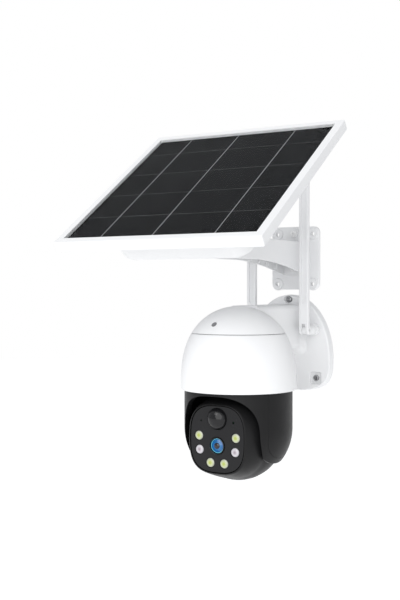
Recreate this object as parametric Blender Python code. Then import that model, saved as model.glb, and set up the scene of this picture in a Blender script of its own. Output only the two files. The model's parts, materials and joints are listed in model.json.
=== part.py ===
"""Solar-powered pan-tilt security camera: camera unit, two antennas and solar panel on one wall.

Millimetres in this file, metres in the scene.  +Z is up, the wall is the plane Y = 0 and the object
stands out from it along -Y.  The origin is on the wall at the centre of the camera's wall plate.
"""

import math

import bpy
from mathutils import Matrix, Vector

MM = 0.001
GAP = 0.3                       # clearance between neighbouring pieces

# camera wall plate and neck
PLATE_HALF_WIDTH = 50.0
PLATE_TOP = 53.0
PLATE_BOTTOM = -53.0
PLATE_WIDEST_Z = -17.0
PLATE_DEPTH = 10.0
PLATE_EDGE = 1.6
NECK_HALF_WIDTH = 17.0
NECK_TOP = 42.3
NECK_BOTTOM = -6.0
WALL_SCREWS = {"top": (0.0, 47.7), "left": (-32.7, -38.1), "right": (32.7, -38.1)}

# dome: top cap above the seam, shroud below it
HEAD_Y = -126.0                 # the pan axis
RIM_RADIUS = 58.0
RIM_Z = -41.0
RIM_BOTTOM = -41.0
DOME_TOP = 42.1
DOME_POWER = 2.75
SEAM_Z = 15.1
DOME_WALL = 2.6
SHROUD_HEIGHTS = (-38.0, -26.0, -12.0, 1.0)
CAP_SCREW_Z = 24.8
CAP_SCREW_TURN = math.radians(-8.0)

# black housing that pans
YOKE_RADIUS = 54.2
YOKE_TOP = -34.5
YOKE_ROUND_Z = -79.0            # below this the housing closes in as a ball
YOKE_WALL = 6.9
TILT_Z = -86.0                  # the tilt axis
ARCH_HALF_WIDTH = 42.0
ARCH_HEIGHT = 42.3
ARCH_POWER = 2.8
LOBE_HALF_DEPTH = 35.5
LOBE_DROP = 25.6
BACK_WALL_DROP = 6.0
COVER_HALF_DEPTH = 26.5
COVER_DROP = 20.3
COVER_TOP = -38.0
COVER_THICKNESS = 1.5

# eyeball
BALL_RADIUS = 46.0
BALL_FLAT = 40.0                # flat cheeks at each side
BALL_WALL = 2.2
SWING_HALF = 36.0               # the housing is relieved between the cheeks for the face barrel's swing
BLEND_START = 16.0              # ahead of this the ball becomes the face barrel
FACE_REACH = 44.0
FACE_HALF_WIDTH = 31.0
FACE_HALF_HEIGHT = 33.7
FACE_POWER = 2.9
LENS_V = -6.3
PIR_V = 19.8
LED_PLACES = ((-20.35, 2.4), (20.35, 2.4), (-19.6, -11.2), (19.6, -11.2), (-7.6, -23.2), (7.6, -23.2))
MIC_PLACE = (-17.8, 17.1)
SENSOR_PLACE = (17.8, 17.1)
LENS_RADIUS = 8.4
PIR_RADIUS = 10.4
LED_RADIUS = 4.5

# gears
PAN_MODULE = 1.0
PAN_TEETH = 40
PAN_PINION_TEETH = 12
TILT_MODULE = 0.8
TILT_TEETH = 16
TILT_PINION_TEETH = 10
GEAR_SLACK = 0.35
GEAR_SPREAD = 0.25              # how much wider apart than the pitch circles the axes stand

# antennas
ANTENNA_X = 31.4
HINGE_Y = -34.0
HINGE_Z = 15.0
PADDLE_WIDTH = 10.8
PADDLE_THICKNESS = 4.6
PADDLE_TOP = 197.0
BARREL_RADIUS = 4.6

# solar panel bracket
SOLAR_X = 5.9
SOLAR_PLATE_Z = 93.4
SOLAR_PLATE_WIDTH = 57.0
SOLAR_PLATE_HEIGHT = 69.5
SOLAR_PLATE_DEPTH = 4.2
SOLAR_LOBE_DEPTH = 6.0
SOLAR_HOLES = (42.6, 55.2)
SOLAR_HOLES_Z = 92.3
ARM_HOLES = {"top": 119.7, "low": 82.0}
ARM_HALF_WIDTH = 14.0
ARM_WALL = 2.0
ARM_TOP = 110.7
ARM_UNDERSIDE = ((-8.5, 75.0), (-32.0, 79.4), (-53.0, 83.0), (-70.0, 85.2), (-90.0, 87.3), (-112.0, 88.7))
RIB_FIRST_Y = -31.5
RIB_PITCH = 20.0
RIB_COUNT = 6

# solar panel; its own axes are X, up its slope and out of its glass
PIVOT = Vector((SOLAR_X, -188.0, 99.7))
PANEL_CENTRE = Vector((SOLAR_X, -207.2, 160.3))
PANEL_TILT = math.radians(34.3)
PANEL_HALF = 105.5
PANEL_DEPTH = 10.2
GLASS_HALF = 98.1
TRAY_TOP_HALF = (73.0, 80.0)
TRAY_BASE_HALF = (66.0, 72.7)
TRAY_CORNER = 15.0
TRAY_TOP = -7.3
TRAY_BASE = -42.0

BLACK = ("black_plastic", (0.018, 0.018, 0.020), 0.42, 0.0)
WHITE = ("white_plastic", (0.86, 0.87, 0.88), 0.32, 0.0)
STEEL = ("screw_steel", (0.62, 0.62, 0.63), 0.30, 1.0)
MOTOR = ("motor_steel", (0.55, 0.56, 0.58), 0.35, 1.0)
GEAR = ("gear_plastic", (0.82, 0.80, 0.74), 0.45, 0.0)
BOARD = ("board_green", (0.02, 0.16, 0.06), 0.45, 0.0)
RUBBER = ("seal_rubber", (0.03, 0.03, 0.03), 0.70, 0.0)
GLASS = ("panel_glass", (0.60, 0.66, 0.72), 0.05, 0.0)
CELLS = ("solar_cells", (0.012, 0.013, 0.020), 0.25, 0.0)
LENS = ("lens_glass", (0.03, 0.16, 0.38), 0.04, 0.0)
PIR = ("pir_black", (0.012, 0.012, 0.014), 0.08, 0.0)
WHITE_LED = ("white_led", (0.80, 0.86, 0.48), 0.15, 0.0)
INFRARED_LED = ("infrared_led", (0.82, 0.80, 0.84), 0.12, 0.0)
BATTERY = ("battery_wrap", (0.05, 0.20, 0.45), 0.35, 0.0)
BEARING = ("bearing_plastic", (0.75, 0.75, 0.72), 0.35, 0.0)


# ---------------------------------------------------------------- making and joining solids

def clear_scene():
    for item in list(bpy.data.objects):
        bpy.data.objects.remove(item, do_unlink=True)


def material(look):
    name, colour, roughness, metallic = look
    found = bpy.data.materials.get(name)
    if found:
        return found
    made = bpy.data.materials.new(name)
    made.use_nodes = True
    shader = made.node_tree.nodes["Principled BSDF"]
    shader.inputs["Base Color"].default_value = (*colour, 1.0)
    shader.inputs["Roughness"].default_value = roughness
    shader.inputs["Metallic"].default_value = metallic
    return made


def solid(name, points, faces, look):
    """One mesh object from points in millimetres, faces turned outwards."""
    mesh = bpy.data.meshes.new(name)
    mesh.from_pydata([tuple(c * MM for c in p) for p in points], [], faces)
    mesh.validate()
    item = bpy.data.objects.new(name, mesh)
    bpy.context.scene.collection.objects.link(item)
    face_outwards(mesh)
    mesh.shade_smooth()
    mesh.set_sharp_from_angle(angle=math.radians(32.0))
    mesh.materials.append(material(look))
    return item


def face_outwards(mesh):
    """Turns the whole closed surface round if its enclosed volume is negative."""
    total = 0.0
    for face in mesh.polygons:
        corners = [mesh.vertices[i].co for i in face.vertices]
        for a, b in zip(corners[1:-1], corners[2:]):
            total += corners[0].dot(a.cross(b))
    if total < 0.0:
        mesh.flip_normals()


def guide(item):
    item.hide_render = True
    item.display_type = "WIRE"
    return item


def combine(item, other, operation):
    step = item.modifiers.new(operation.lower(), "BOOLEAN")
    step.operation = operation
    step.solver = "EXACT"
    step.object = guide(other)
    return item


def cut(item, other):
    return combine(item, other, "DIFFERENCE")


def join(item, other):
    return combine(item, other, "UNION")


def keep(item, other):
    return combine(item, other, "INTERSECT")


def place(axis, origin, across, along, height):
    """A point at (across, along) in the plane square to an axis, and at height on that axis."""
    if axis == "X":
        local = Vector((height, across, along))
    elif axis == "Y":
        local = Vector((across, height, along))
    else:
        local = Vector((across, along, height))
    return origin + local


def skin(rings, closed_rings):
    """Faces between successive rings of equal length; the ends are capped unless the rings close up."""
    count = len(rings[0])
    points = [p for ring in rings for p in ring]
    faces = []
    pairs = len(rings) if closed_rings else len(rings) - 1
    for i in range(pairs):
        low = i * count
        high = ((i + 1) % len(rings)) * count
        for j in range(count):
            k = (j + 1) % count
            faces.append((low + j, low + k, high + k, high + j))
    if not closed_rings:
        faces.append(tuple(reversed(range(count))))
        last = (len(rings) - 1) * count
        faces.append(tuple(last + j for j in range(count)))
    return points, faces


def loft(name, rings, look, closed_rings=False):
    points, faces = skin(rings, closed_rings)
    return solid(name, points, faces, look)


def turned(name, profile, look, axis="Z", origin=(0.0, 0.0, 0.0), steps=32):
    """A turned solid from (radius, height) pairs; a ring when the profile never meets the axis."""
    origin = Vector(origin)
    rings = []
    for radius, height in profile:
        ring = []
        for i in range(steps):
            angle = 2.0 * math.pi * i / steps
            across = radius * math.cos(angle)
            along = radius * math.sin(angle)
            ring.append(place(axis, origin, across, along, height))
        rings.append(ring)
    return loft(name, rings, look, closed_rings=len(profile) > 3 and profile[0][1] == profile[-1][1])


def rod(name, radius, low, high, look, axis="Z", origin=(0.0, 0.0, 0.0), steps=24):
    return turned(name, ((radius, low), (radius, high)), look, axis, origin, steps)


def tube(name, inner, outer, low, high, look, axis="Z", origin=(0.0, 0.0, 0.0), steps=32):
    profile = ((outer, low), (outer, high), (inner, high), (inner, low))
    return turned(name, profile, look, axis, origin, steps)


def prism(name, outline, low, high, look, axis="Z", origin=(0.0, 0.0, 0.0)):
    origin = Vector(origin)
    rings = [[place(axis, origin, a, b, h) for a, b in outline] for h in (low, high)]
    return loft(name, rings, look)


def block(name, low, high, look):
    outline = ((low[0], low[1]), (high[0], low[1]), (high[0], high[1]), (low[0], high[1]))
    return prism(name, outline, low[2], high[2], look)


# ---------------------------------------------------------------- outlines

def superellipse(half_width, half_height, power, count, centre=(0.0, 0.0)):
    outline = []
    for i in range(count):
        angle = 2.0 * math.pi * i / count
        c = math.cos(angle)
        s = math.sin(angle)
        across = half_width * math.copysign(abs(c) ** (2.0 / power), c)
        along = half_height * math.copysign(abs(s) ** (2.0 / power), s)
        outline.append((centre[0] + across, centre[1] + along))
    return outline


def rounded_rectangle(low, high, radius, per_corner=5):
    corners = (
        (high[0] - radius, high[1] - radius, 0.0),
        (low[0] + radius, high[1] - radius, 90.0),
        (low[0] + radius, low[1] + radius, 180.0),
        (high[0] - radius, low[1] + radius, 270.0),
    )
    outline = []
    for a, b, start in corners:
        for i in range(per_corner):
            angle = math.radians(start + 90.0 * i / (per_corner - 1))
            outline.append((a + radius * math.cos(angle), b + radius * math.sin(angle)))
    return outline


def arc(centre, radius, start, end, count):
    outline = []
    for i in range(count):
        angle = math.radians(start + (end - start) * i / (count - 1))
        outline.append((centre[0] + radius * math.cos(angle), centre[1] + radius * math.sin(angle)))
    return outline


def gear_outline(module, teeth, phase):
    """Trapezoid teeth, thinned by the slack so that a pair never touches."""
    pitch = module * teeth / 2.0
    tip = pitch + 0.8 * module
    root = pitch - 1.1 * module
    step = 2.0 * math.pi / teeth
    half = step / 4.0 - GEAR_SLACK / (2.0 * pitch)
    outline = []
    for i in range(teeth):
        middle = phase + i * step
        for radius, offset in ((root, -1.45), (tip, -0.6), (tip, 0.6), (root, 1.45)):
            angle = middle + offset * half
            outline.append((radius * math.cos(angle), radius * math.sin(angle)))
    return outline


def dome_radius(z):
    """Outer radius of the dome at a height; straight below the rim line."""
    rise = min(max((z - RIM_Z) / (DOME_TOP - RIM_Z), 0.0), 1.0)
    return RIM_RADIUS * math.sqrt(max(1.0 - rise ** DOME_POWER, 0.0))


def dome_profile(low, high, inset, count):
    heights = [low + (high - low) * math.sin(0.5 * math.pi * i / (count - 1)) for i in range(count)]
    return [(max(dome_radius(z) - inset, 0.4), z) for z in heights]


# ---------------------------------------------------------------- camera wall plate, neck and dome

def plate_ring(inset, y, count=36):
    ring = []
    for i in range(count):
        angle = 2.0 * math.pi * i / count
        upper = math.sin(angle) >= 0.0
        power = 2.0 if upper else 3.3
        reach = PLATE_TOP - PLATE_WIDEST_Z if upper else PLATE_WIDEST_Z - PLATE_BOTTOM
        x, z = superellipse(PLATE_HALF_WIDTH - inset, reach - inset, power, count)[i]
        ring.append(Vector((x, y, PLATE_WIDEST_Z + z)))
    return ring


def neck_ring(y, spread):
    low = (-NECK_HALF_WIDTH - spread, NECK_BOTTOM - 1.5 * spread)
    high = (NECK_HALF_WIDTH + spread, NECK_TOP + 0.15 * spread)
    return [Vector((x, y, z)) for x, z in rounded_rectangle(low, high, 5.5, 4)]


def screw_pocket(name, x, z, turn, half):
    outline = []
    for a, b in rounded_rectangle((-half, -half), (half, half), 2.2, 3):
        outline.append((x + a * math.cos(turn) - b * math.sin(turn), z + a * math.sin(turn) + b * math.cos(turn)))
    return prism(name, outline, -PLATE_DEPTH - 8.0, -PLATE_DEPTH + 3.0, WHITE, "Y")


def make_wall_bracket():
    """Wall plate, hollow neck and top cap: one moulding."""
    rings = [
        plate_ring(0.0, 0.0),
        plate_ring(0.5, -PLATE_DEPTH + PLATE_EDGE),
        plate_ring(1.0, -PLATE_DEPTH + 0.45 * PLATE_EDGE),
        plate_ring(PLATE_EDGE + 0.6, -PLATE_DEPTH),
    ]
    bracket = loft("wall_bracket", rings, WHITE)
    necks = ((-9.0, 6.5), (-12.5, 2.6), (-19.0, 0.0), (HEAD_Y + 12.0, 0.0))
    join(bracket, loft("neck_guide", [neck_ring(y, spread) for y, spread in necks], WHITE))
    cap = turned("cap_guide", dome_profile(SEAM_Z + 0.25, DOME_TOP, 0.0, 8), WHITE, "Z", (0, HEAD_Y, 0), 36)
    join(bracket, cap)
    below = [(dome_radius(-60.0) + GAP, -60.0)]
    below += [(dome_radius(z) + GAP, z) for z in SHROUD_HEIGHTS + (SEAM_Z + 0.25,)]
    cut(bracket, turned("below_seam_cutter", below, WHITE, "Z", (0, HEAD_Y, 0), 36))
    hollow = [(dome_radius(z) - DOME_WALL, z) for z in (SEAM_Z - 3.0, 22.0, 30.0)] + [(18.0, 38.0)]
    cut(bracket, turned("cap_hollow_cutter", hollow, WHITE, "Z", (0, HEAD_Y, 0), 24))
    cut(bracket, block("neck_rear_cutter", (-13.0, -58.0, 7.0), (13.0, 2.0, 38.0), WHITE))
    cut(bracket, block("neck_front_cutter", (-12.0, HEAD_Y + 14.0, 18.5), (12.0, -57.0, 36.0), WHITE))
    for name, (x, z) in WALL_SCREWS.items():
        turn, half = (math.radians(45.0), 4.4) if name == "top" else (0.0, 6.6)
        cut(bracket, screw_pocket(f"pocket_{name}_cutter", x, z, turn, half))
        cut(bracket, rod(f"hole_{name}_cutter", 2.4, -12.0, 2.0, WHITE, "Y", (x, 0, z), 10))
    for side in (-1.0, 1.0):
        origin = (side * ANTENNA_X, 0.0, HINGE_Z)
        cut(bracket, rod(f"antenna_bore_cutter_{int(side)}", 4.3, -15.0, -3.0, WHITE, "Y", origin, 14))
    cut(bracket, cap_screw_shape("cap_screw_hole_cutter", 0.4, 3.0))
    cut(bracket, rod("inlet_hole_cutter", 4.4, -30.0, 12.0, WHITE, "Z", (0, -40.0, 0), 14))
    return bracket


def cap_screw_shape(name, slack, lift):
    """A short screw square to the cap's surface; slack makes it the hole, lift is its head's height."""
    radius = dome_radius(CAP_SCREW_Z)
    slope = (dome_radius(CAP_SCREW_Z - 1.0) - dome_radius(CAP_SCREW_Z + 1.0)) / 2.0
    shaft = 1.1 + slack
    head = 2.5 + slack
    profile = ((shaft, -6.0 - slack), (shaft, -1.0 - slack), (head, -1.0 - slack), (head, lift))
    item = turned(name, profile, STEEL, "Z", (0, 0, 0), 14)
    lean = Matrix.Rotation(math.atan2(1.0, slope), 4, "X")
    turn = Matrix.Rotation(CAP_SCREW_TURN, 4, "Z")
    centre = Matrix.Translation(Vector((0.0, HEAD_Y, CAP_SCREW_Z)) * MM)
    item.matrix_world = centre @ turn @ Matrix.Translation(Vector((0, -radius, 0)) * MM) @ lean
    return item


def make_shroud():
    outer = [(dome_radius(z), z) for z in SHROUD_HEIGHTS + (SEAM_Z - 0.25,)]
    inner = [(radius - DOME_WALL, z) for radius, z in reversed(outer[::2])]
    profile = [(RIM_RADIUS - 0.5, RIM_BOTTOM), (RIM_RADIUS, RIM_BOTTOM + 0.6)] + outer + inner
    profile += [(RIM_RADIUS - DOME_WALL, RIM_BOTTOM)]
    return turned("lower_shroud", profile, WHITE, "Z", (0, HEAD_Y, 0), 36)


def make_fixed_camera_parts():
    head = (0.0, HEAD_Y, 0.0)
    tube("cap_seal", 39.6, 42.4, SEAM_Z - 4.0, SEAM_Z + 1.0, RUBBER, "Z", head, 24)
    cap_screw_shape("cap_screw", 0.0, 0.1)
    for name, (x, z) in WALL_SCREWS.items():
        profile = ((1.9, -0.5), (1.9, -7.4), (3.4, -7.4), (3.0, -9.2))
        turned(f"wall_screw_{name}", profile, STEEL, "Y", (x, 0, z), 12)
    tube("pan_bearing", 10.3, 15.0, -28.5, -21.5, BEARING, "Z", head, 20)
    tube("pan_base", 15.3, 52.6, -26.5, -23.0, BLACK, "Z", head, 32)
    shaft_x = pan_pinion_x()
    cut(bpy.data.objects["pan_base"], rod("shaft_hole_cutter", 2.0, -30.0, -20.0, BLACK, "Z", (shaft_x, HEAD_Y, 0), 16))
    motor = rod("pan_motor", 11.0, -22.7, -11.5, MOTOR, "Z", (shaft_x, HEAD_Y, 0), 20)
    cut(motor, rod("pan_bore_cutter", 1.8, -26.0, -15.5, MOTOR, "Z", (shaft_x, HEAD_Y, 0), 16))
    board = rod("main_board", 37.0, -7.6, -6.0, BOARD, "Z", head, 24)
    cut(board, rod("board_hole_cutter", 7.0, -9.0, -4.0, BOARD, "Z", head, 20))
    tube("solar_inlet", 2.4, 4.0, -15.0, 5.5, BLACK, "Z", (0, -40.0, 0), 14)


# ---------------------------------------------------------------- antennas

def make_antenna(side, name):
    x = side * ANTENNA_X
    axis = (x, 0.0, HINGE_Z)
    nut = turned(
        f"antenna_nut_{name}",
        ((4.3, -10.3), (6.5, -10.3), (6.5, -15.6), (5.9, -16.2), (4.3, -16.2), (4.3, -10.3)),
        WHITE, "Y", axis, 16,
    )
    base = turned(
        f"antenna_base_{name}",
        ((3.6, -4.0), (3.9, -4.0), (3.9, -16.5), (5.6, -16.5), (5.6, -21.5), (4.4, -25.0), (4.4, -28.0)),
        WHITE, "Y", axis, 16,
    )
    tongue = [(-26.0, -4.0), (HINGE_Y, -4.0)] + arc((HINGE_Y, 0.0), 4.0, 255.0, 105.0, 7)
    tongue += [(HINGE_Y, 4.0), (-26.0, 4.0)]
    join(base, prism(f"tongue_guide_{name}", tongue, -1.8, 1.8, WHITE, "X", axis))
    cut(base, rod(f"tongue_bore_cutter_{name}", 1.5, -4.0, 4.0, WHITE, "X", (x, HINGE_Y, HINGE_Z), 12))
    paddle = make_paddle(x, name)
    pin = rod(f"antenna_pin_{name}", 1.15, -4.5, 4.5, STEEL, "X", (x, HINGE_Y, HINGE_Z), 12)
    return nut, base, paddle, pin


def make_paddle(x, name):
    front = HINGE_Y - BARREL_RADIUS
    back = front + PADDLE_THICKNESS
    outline = arc((HINGE_Y, 0.0), BARREL_RADIUS, 180.0, 430.0, 11)
    outline += [(back, 5.6), (back, PADDLE_TOP - HINGE_Z - 1.2)]
    outline += [(back - 1.2, PADDLE_TOP - HINGE_Z), (front + 1.2, PADDLE_TOP - HINGE_Z)]
    outline += [(front, PADDLE_TOP - HINGE_Z - 1.2)]
    half = PADDLE_WIDTH / 2.0
    paddle = prism(f"antenna_paddle_{name}", outline, -half, half, WHITE, "X", (x, 0, HINGE_Z))
    slot = rounded_rectangle((-2.5, 28.5), (2.5, PADDLE_TOP - HINGE_Z - 9.0), 2.4, 4)
    cut(paddle, prism(f"groove_cutter_{name}", slot, front - 2.0, front + 1.0, WHITE, "Y", (x, 0, HINGE_Z)))
    cut(paddle, block(
        f"fork_cutter_{name}", (x - 2.2, HINGE_Y - 12.0, HINGE_Z - 12.0),
        (x + 2.2, HINGE_Y + 12.0, HINGE_Z + 7.0), WHITE,
    ))
    cut(paddle, rod(f"pin_hole_cutter_{name}", 1.5, -9.0, 9.0, WHITE, "X", (x, HINGE_Y, HINGE_Z), 12))
    return paddle


# ---------------------------------------------------------------- panning housing

def yoke_profile(radius, top):
    """Straight side below the roof, closing in as a ball under YOKE_ROUND_Z."""
    profile = [(radius - 1.5, top), (radius, top - 1.5)]
    for i in range(8):
        angle = math.radians(77.0 * i / 7.0)
        profile.append((radius * math.cos(angle), YOKE_ROUND_Z - radius * math.sin(angle)))
    return profile


def lobe_outline(half_depth, drop, top):
    """Side view (y, z) of a cheek: upright edges and a half-round foot about the tilt axis."""
    outline = [(HEAD_Y + half_depth, top), (HEAD_Y - half_depth, top)]
    for i in range(13):
        angle = math.pi * (1.0 + i / 12.0)
        outline.append((HEAD_Y + half_depth * math.cos(angle), TILT_Z + drop * math.sin(angle)))
    return outline


def cover_skin(name, inner, outer, shrink, side):
    """A curved cheek cover: a turned skin kept only inside the cover's side outline."""
    top = COVER_TOP - shrink
    rings = [(outer, top)] + yoke_profile(outer, top)[2:] + yoke_profile(inner, top)[:1:-1] + [(inner, top)]
    item = turned(name, rings, BLACK, "Z", (0, HEAD_Y, 0), 48)
    outline = lobe_outline(COVER_HALF_DEPTH - shrink, COVER_DROP - shrink, RIM_BOTTOM + 6.0)
    low, high = (20.0, 70.0) if side > 0 else (-70.0, -20.0)
    return keep(item, prism(f"{name}_outline", outline, low, high, BLACK, "X"))


def make_yoke():
    housing = turned("yoke_housing", yoke_profile(YOKE_RADIUS, YOKE_TOP), BLACK, "Z", (0, HEAD_Y, 0), 48)
    inner = YOKE_RADIUS - YOKE_WALL
    cavity = [(inner, YOKE_TOP - 3.0)]
    for i in range(8):
        angle = math.radians(84.0 * i / 7.0)
        cavity.append((inner * math.cos(angle), TILT_Z - inner * math.sin(angle)))
    cut(housing, turned("cavity_cutter", cavity, BLACK, "Z", (0, HEAD_Y, 0), 40))
    arch = superellipse(ARCH_HALF_WIDTH, ARCH_HEIGHT, ARCH_POWER, 36, (0.0, TILT_Z))
    cut(housing, prism("arch_cutter", arch, HEAD_Y - 75.0, HEAD_Y - 18.0, BLACK, "Y"))
    swing = ((25.2, -BALL_FLAT), (35.5, -SWING_HALF), (35.5, SWING_HALF), (25.2, BALL_FLAT))
    cut(housing, turned("swing_relief_cutter", swing, BLACK, "X", (0, HEAD_Y, TILT_Z), 40))
    foot = [p for p in lobe_outline(LOBE_HALF_DEPTH, LOBE_DROP, TILT_Z)[2:] if p[1] < TILT_Z - 1.0]
    below = [(HEAD_Y - 75.0, TILT_Z - 1.3), (HEAD_Y - LOBE_HALF_DEPTH, TILT_Z - 1.3)] + foot
    below += [(HEAD_Y + 75.0, TILT_Z - BACK_WALL_DROP), (HEAD_Y + 75.0, TILT_Z - 70.0)]
    below += [(HEAD_Y - 75.0, TILT_Z - 70.0)]
    cut(housing, prism("below_cutter", below, -75.0, 75.0, BLACK, "X"))
    for side, name in ((-1.0, "left"), (1.0, "right")):
        skin_inner = YOKE_RADIUS - COVER_THICKNESS - GAP
        cut(housing, cover_skin(f"recess_{name}_cutter", skin_inner, YOKE_RADIUS + 4.0, 0.0, side))
        cover_skin(f"side_cover_{name}", YOKE_RADIUS - COVER_THICKNESS, YOKE_RADIUS, GAP, side)
    spigot = turned("spigot_guide", ((10.0, YOKE_TOP - 1.0), (10.0, -17.5)), BLACK, "Z", (0, HEAD_Y, 0), 20)
    join(housing, spigot)
    cut(housing, rod("cable_bore_cutter", 6.0, -45.0, -10.0, BLACK, "Z", (0, HEAD_Y, 0), 16))
    cut(housing, rod("axle_bore_cutter", 4.2, -60.0, -40.0, BLACK, "X", (0, HEAD_Y, TILT_Z), 14))
    tube("pan_clip", 10.3, 13.0, -21.0, -19.6, STEEL, "Z", (0, HEAD_Y, 0), 20)
    return housing


def pan_pinion_x():
    return PAN_MODULE * (PAN_TEETH + PAN_PINION_TEETH) / 2.0 + GEAR_SPREAD


def make_pan_gears():
    gear = prism("pan_gear", gear_outline(PAN_MODULE, PAN_TEETH, 0.0), -34.2, -30.4, GEAR, "Z", (0, HEAD_Y, 0))
    cut(gear, rod("pan_gear_bore_cutter", 10.5, -40.0, -25.0, GEAR, "Z", (0, HEAD_Y, 0), 20))
    origin = (pan_pinion_x(), HEAD_Y, 0.0)
    outline = gear_outline(PAN_MODULE, PAN_PINION_TEETH, math.pi / PAN_PINION_TEETH)
    pinion = prism("pan_pinion", outline, -34.1, -30.6, GEAR, "Z", origin)
    join(pinion, rod("pan_shaft_guide", 1.5, -32.0, -17.0, GEAR, "Z", origin, 12))


def make_tilt_gears():
    origin = (0.0, HEAD_Y, TILT_Z)
    gear = prism("tilt_gear", gear_outline(TILT_MODULE, TILT_TEETH, 0.0), 41.0, 44.0, GEAR, "X", origin)
    join(gear, rod("tilt_gear_hub_guide", 4.4, 43.0, YOKE_RADIUS - YOKE_WALL - 0.8, GEAR, "X", origin, 16))
    join(gear, rod("tilt_gear_axle_guide", 3.8, 36.0, 42.0, GEAR, "X", origin, 16))
    behind = (0.0, HEAD_Y + tilt_pinion_offset(), TILT_Z)
    outline = gear_outline(TILT_MODULE, TILT_PINION_TEETH, math.pi / TILT_PINION_TEETH)
    pinion = prism("tilt_pinion", outline, 41.1, 43.9, GEAR, "X", behind)
    join(pinion, rod("tilt_shaft_guide", 1.5, 25.0, 42.0, GEAR, "X", behind, 12))


def tilt_pinion_offset():
    return TILT_MODULE * (TILT_TEETH + TILT_PINION_TEETH) / 2.0 + GEAR_SPREAD


# ---------------------------------------------------------------- eyeball

def ball_half_sizes(reach, inset):
    """Half width, half height and corner power of the ball's section at a reach ahead of its centre."""
    radius = BALL_RADIUS - inset
    if reach <= BLEND_START:
        size = math.sqrt(max(radius ** 2 - reach ** 2, 9.0))
        return size, size, 2.0
    start = math.sqrt(radius ** 2 - BLEND_START ** 2)
    share = (reach - BLEND_START) / (FACE_REACH - BLEND_START)
    ease = 0.8 * share + 0.2 * share ** 2
    rim = 0.6 * inset
    width = start + (FACE_HALF_WIDTH - rim - start) * ease
    height = start + (FACE_HALF_HEIGHT - rim - start) * ease
    return width, height, 2.0 + (FACE_POWER - 2.0) * share


def ball_ring(reach, inset, front=None):
    width, height, power = ball_half_sizes(reach, inset)
    flat = BALL_FLAT - inset
    y = HEAD_Y - (reach if front is None else front)
    ring = []
    for x, v in superellipse(width, height, power, 32):
        ring.append(Vector((max(-flat, min(flat, x)), y, TILT_Z + v)))
    return ring


def make_ball_shell():
    reaches = [-45.7, -42.5, -35.0, -25.0, -13.0, 2.0, 16.0, 30.0]
    rings = [ball_ring(r, 0.0) for r in reaches] + [ball_ring(FACE_REACH - 0.8, 0.0), ball_ring(FACE_REACH, 0.7)]
    inner = [-43.4, -38.0, -28.0, -14.0, 2.0, 16.0, 30.0]
    rings += [ball_ring(FACE_REACH, BALL_WALL)] + [ball_ring(r, BALL_WALL) for r in reversed(inner)]
    shell = loft("ball_shell", rings, BLACK)
    cut(shell, rod("axle_cutter", 4.1, -50.0, 50.0, BLACK, "X", (0, HEAD_Y, TILT_Z), 20))
    behind = (0.0, HEAD_Y + tilt_pinion_offset(), TILT_Z)
    cut(shell, rod("pinion_shaft_cutter", 1.9, 30.0, 50.0, BLACK, "X", behind, 12))
    return shell


def facing_rod(name, radius, low, high, place_xv, look, steps=24):
    """A round piece in the face, between two reaches ahead of the tilt axis."""
    x, v = place_xv
    return rod(name, radius, -high, -low, look, "Y", (x, HEAD_Y, TILT_Z + v), steps)


def facing_turned(name, profile, place_xv, look, steps=24):
    x, v = place_xv
    return turned(name, [(r, -reach) for r, reach in profile], look, "Y", (x, HEAD_Y, TILT_Z + v), steps)


def face_board(name, shrink, low, high, look):
    outline = superellipse(FACE_HALF_WIDTH - shrink, FACE_HALF_HEIGHT - shrink, FACE_POWER, 36)
    return prism(name, outline, -high, -low, look, "Y", (0, HEAD_Y, TILT_Z))


def make_face():
    plate = face_board("face_plate", 1.75, 41.4, 43.4, BLACK)
    board = face_board("led_board", 5.0, 37.4, 39.0, BOARD)
    for item, spare in ((plate, 0.3), (board, 0.4)):
        prefix = item.name
        cut(item, facing_rod(f"{prefix}_lens_cutter", LENS_RADIUS + spare, 30.0, 50.0, (0.0, LENS_V), BLACK, 22))
        cut(item, facing_rod(f"{prefix}_pir_cutter", PIR_RADIUS + spare, 30.0, 50.0, (0.0, PIR_V), BLACK, 24))
    for i, spot in enumerate(LED_PLACES):
        cut(plate, facing_rod(f"led_cutter_{i}", LED_RADIUS + 0.4, 30.0, 50.0, spot, BLACK, 14))
        look = INFRARED_LED if i in (2, 3) else WHITE_LED
        profile = ((LED_RADIUS, 39.3), (LED_RADIUS, 42.9), (0.7 * LED_RADIUS, 43.9))
        facing_turned(f"led_{i + 1}", profile, spot, look, 14)
    cut(plate, facing_rod("mic_cutter", 0.8, 30.0, 50.0, MIC_PLACE, BLACK, 12))
    cut(plate, facing_rod("sensor_cutter", 1.1, 30.0, 50.0, SENSOR_PLACE, BLACK, 12))


def make_optics():
    spot = (0.0, LENS_V)
    barrel = (
        (LENS_RADIUS - 1.0, 22.0), (LENS_RADIUS, 23.0), (LENS_RADIUS, 44.2), (LENS_RADIUS - 0.5, 44.8),
        (LENS_RADIUS - 0.9, 44.8), (LENS_RADIUS - 1.0, 39.0), (1.5, 39.0),
    )
    facing_turned("lens_barrel", barrel, spot, BLACK, 22)
    glass = ((7.1, 39.4), (7.1, 42.6), (5.4, 43.8), (2.0, 44.2))
    facing_turned("lens_glass", glass, spot, LENS, 18)
    reach = 43.0
    height = 7.0
    dome = [(PIR_RADIUS, 39.4), (PIR_RADIUS, reach)]
    for i in range(1, 5):
        angle = math.radians(80.0 * i / 4.0)
        dome.append((PIR_RADIUS * math.cos(angle), reach + height * math.sin(angle)))
    facing_turned("pir_dome", dome, (0.0, PIR_V), PIR, 24)
    outline = rounded_rectangle((-18.0, -24.3), (18.0, 11.7), 2.0, 3)
    prism("image_board", outline, -21.6, -20.0, BOARD, "Y", (0, HEAD_Y, TILT_Z))


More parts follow.
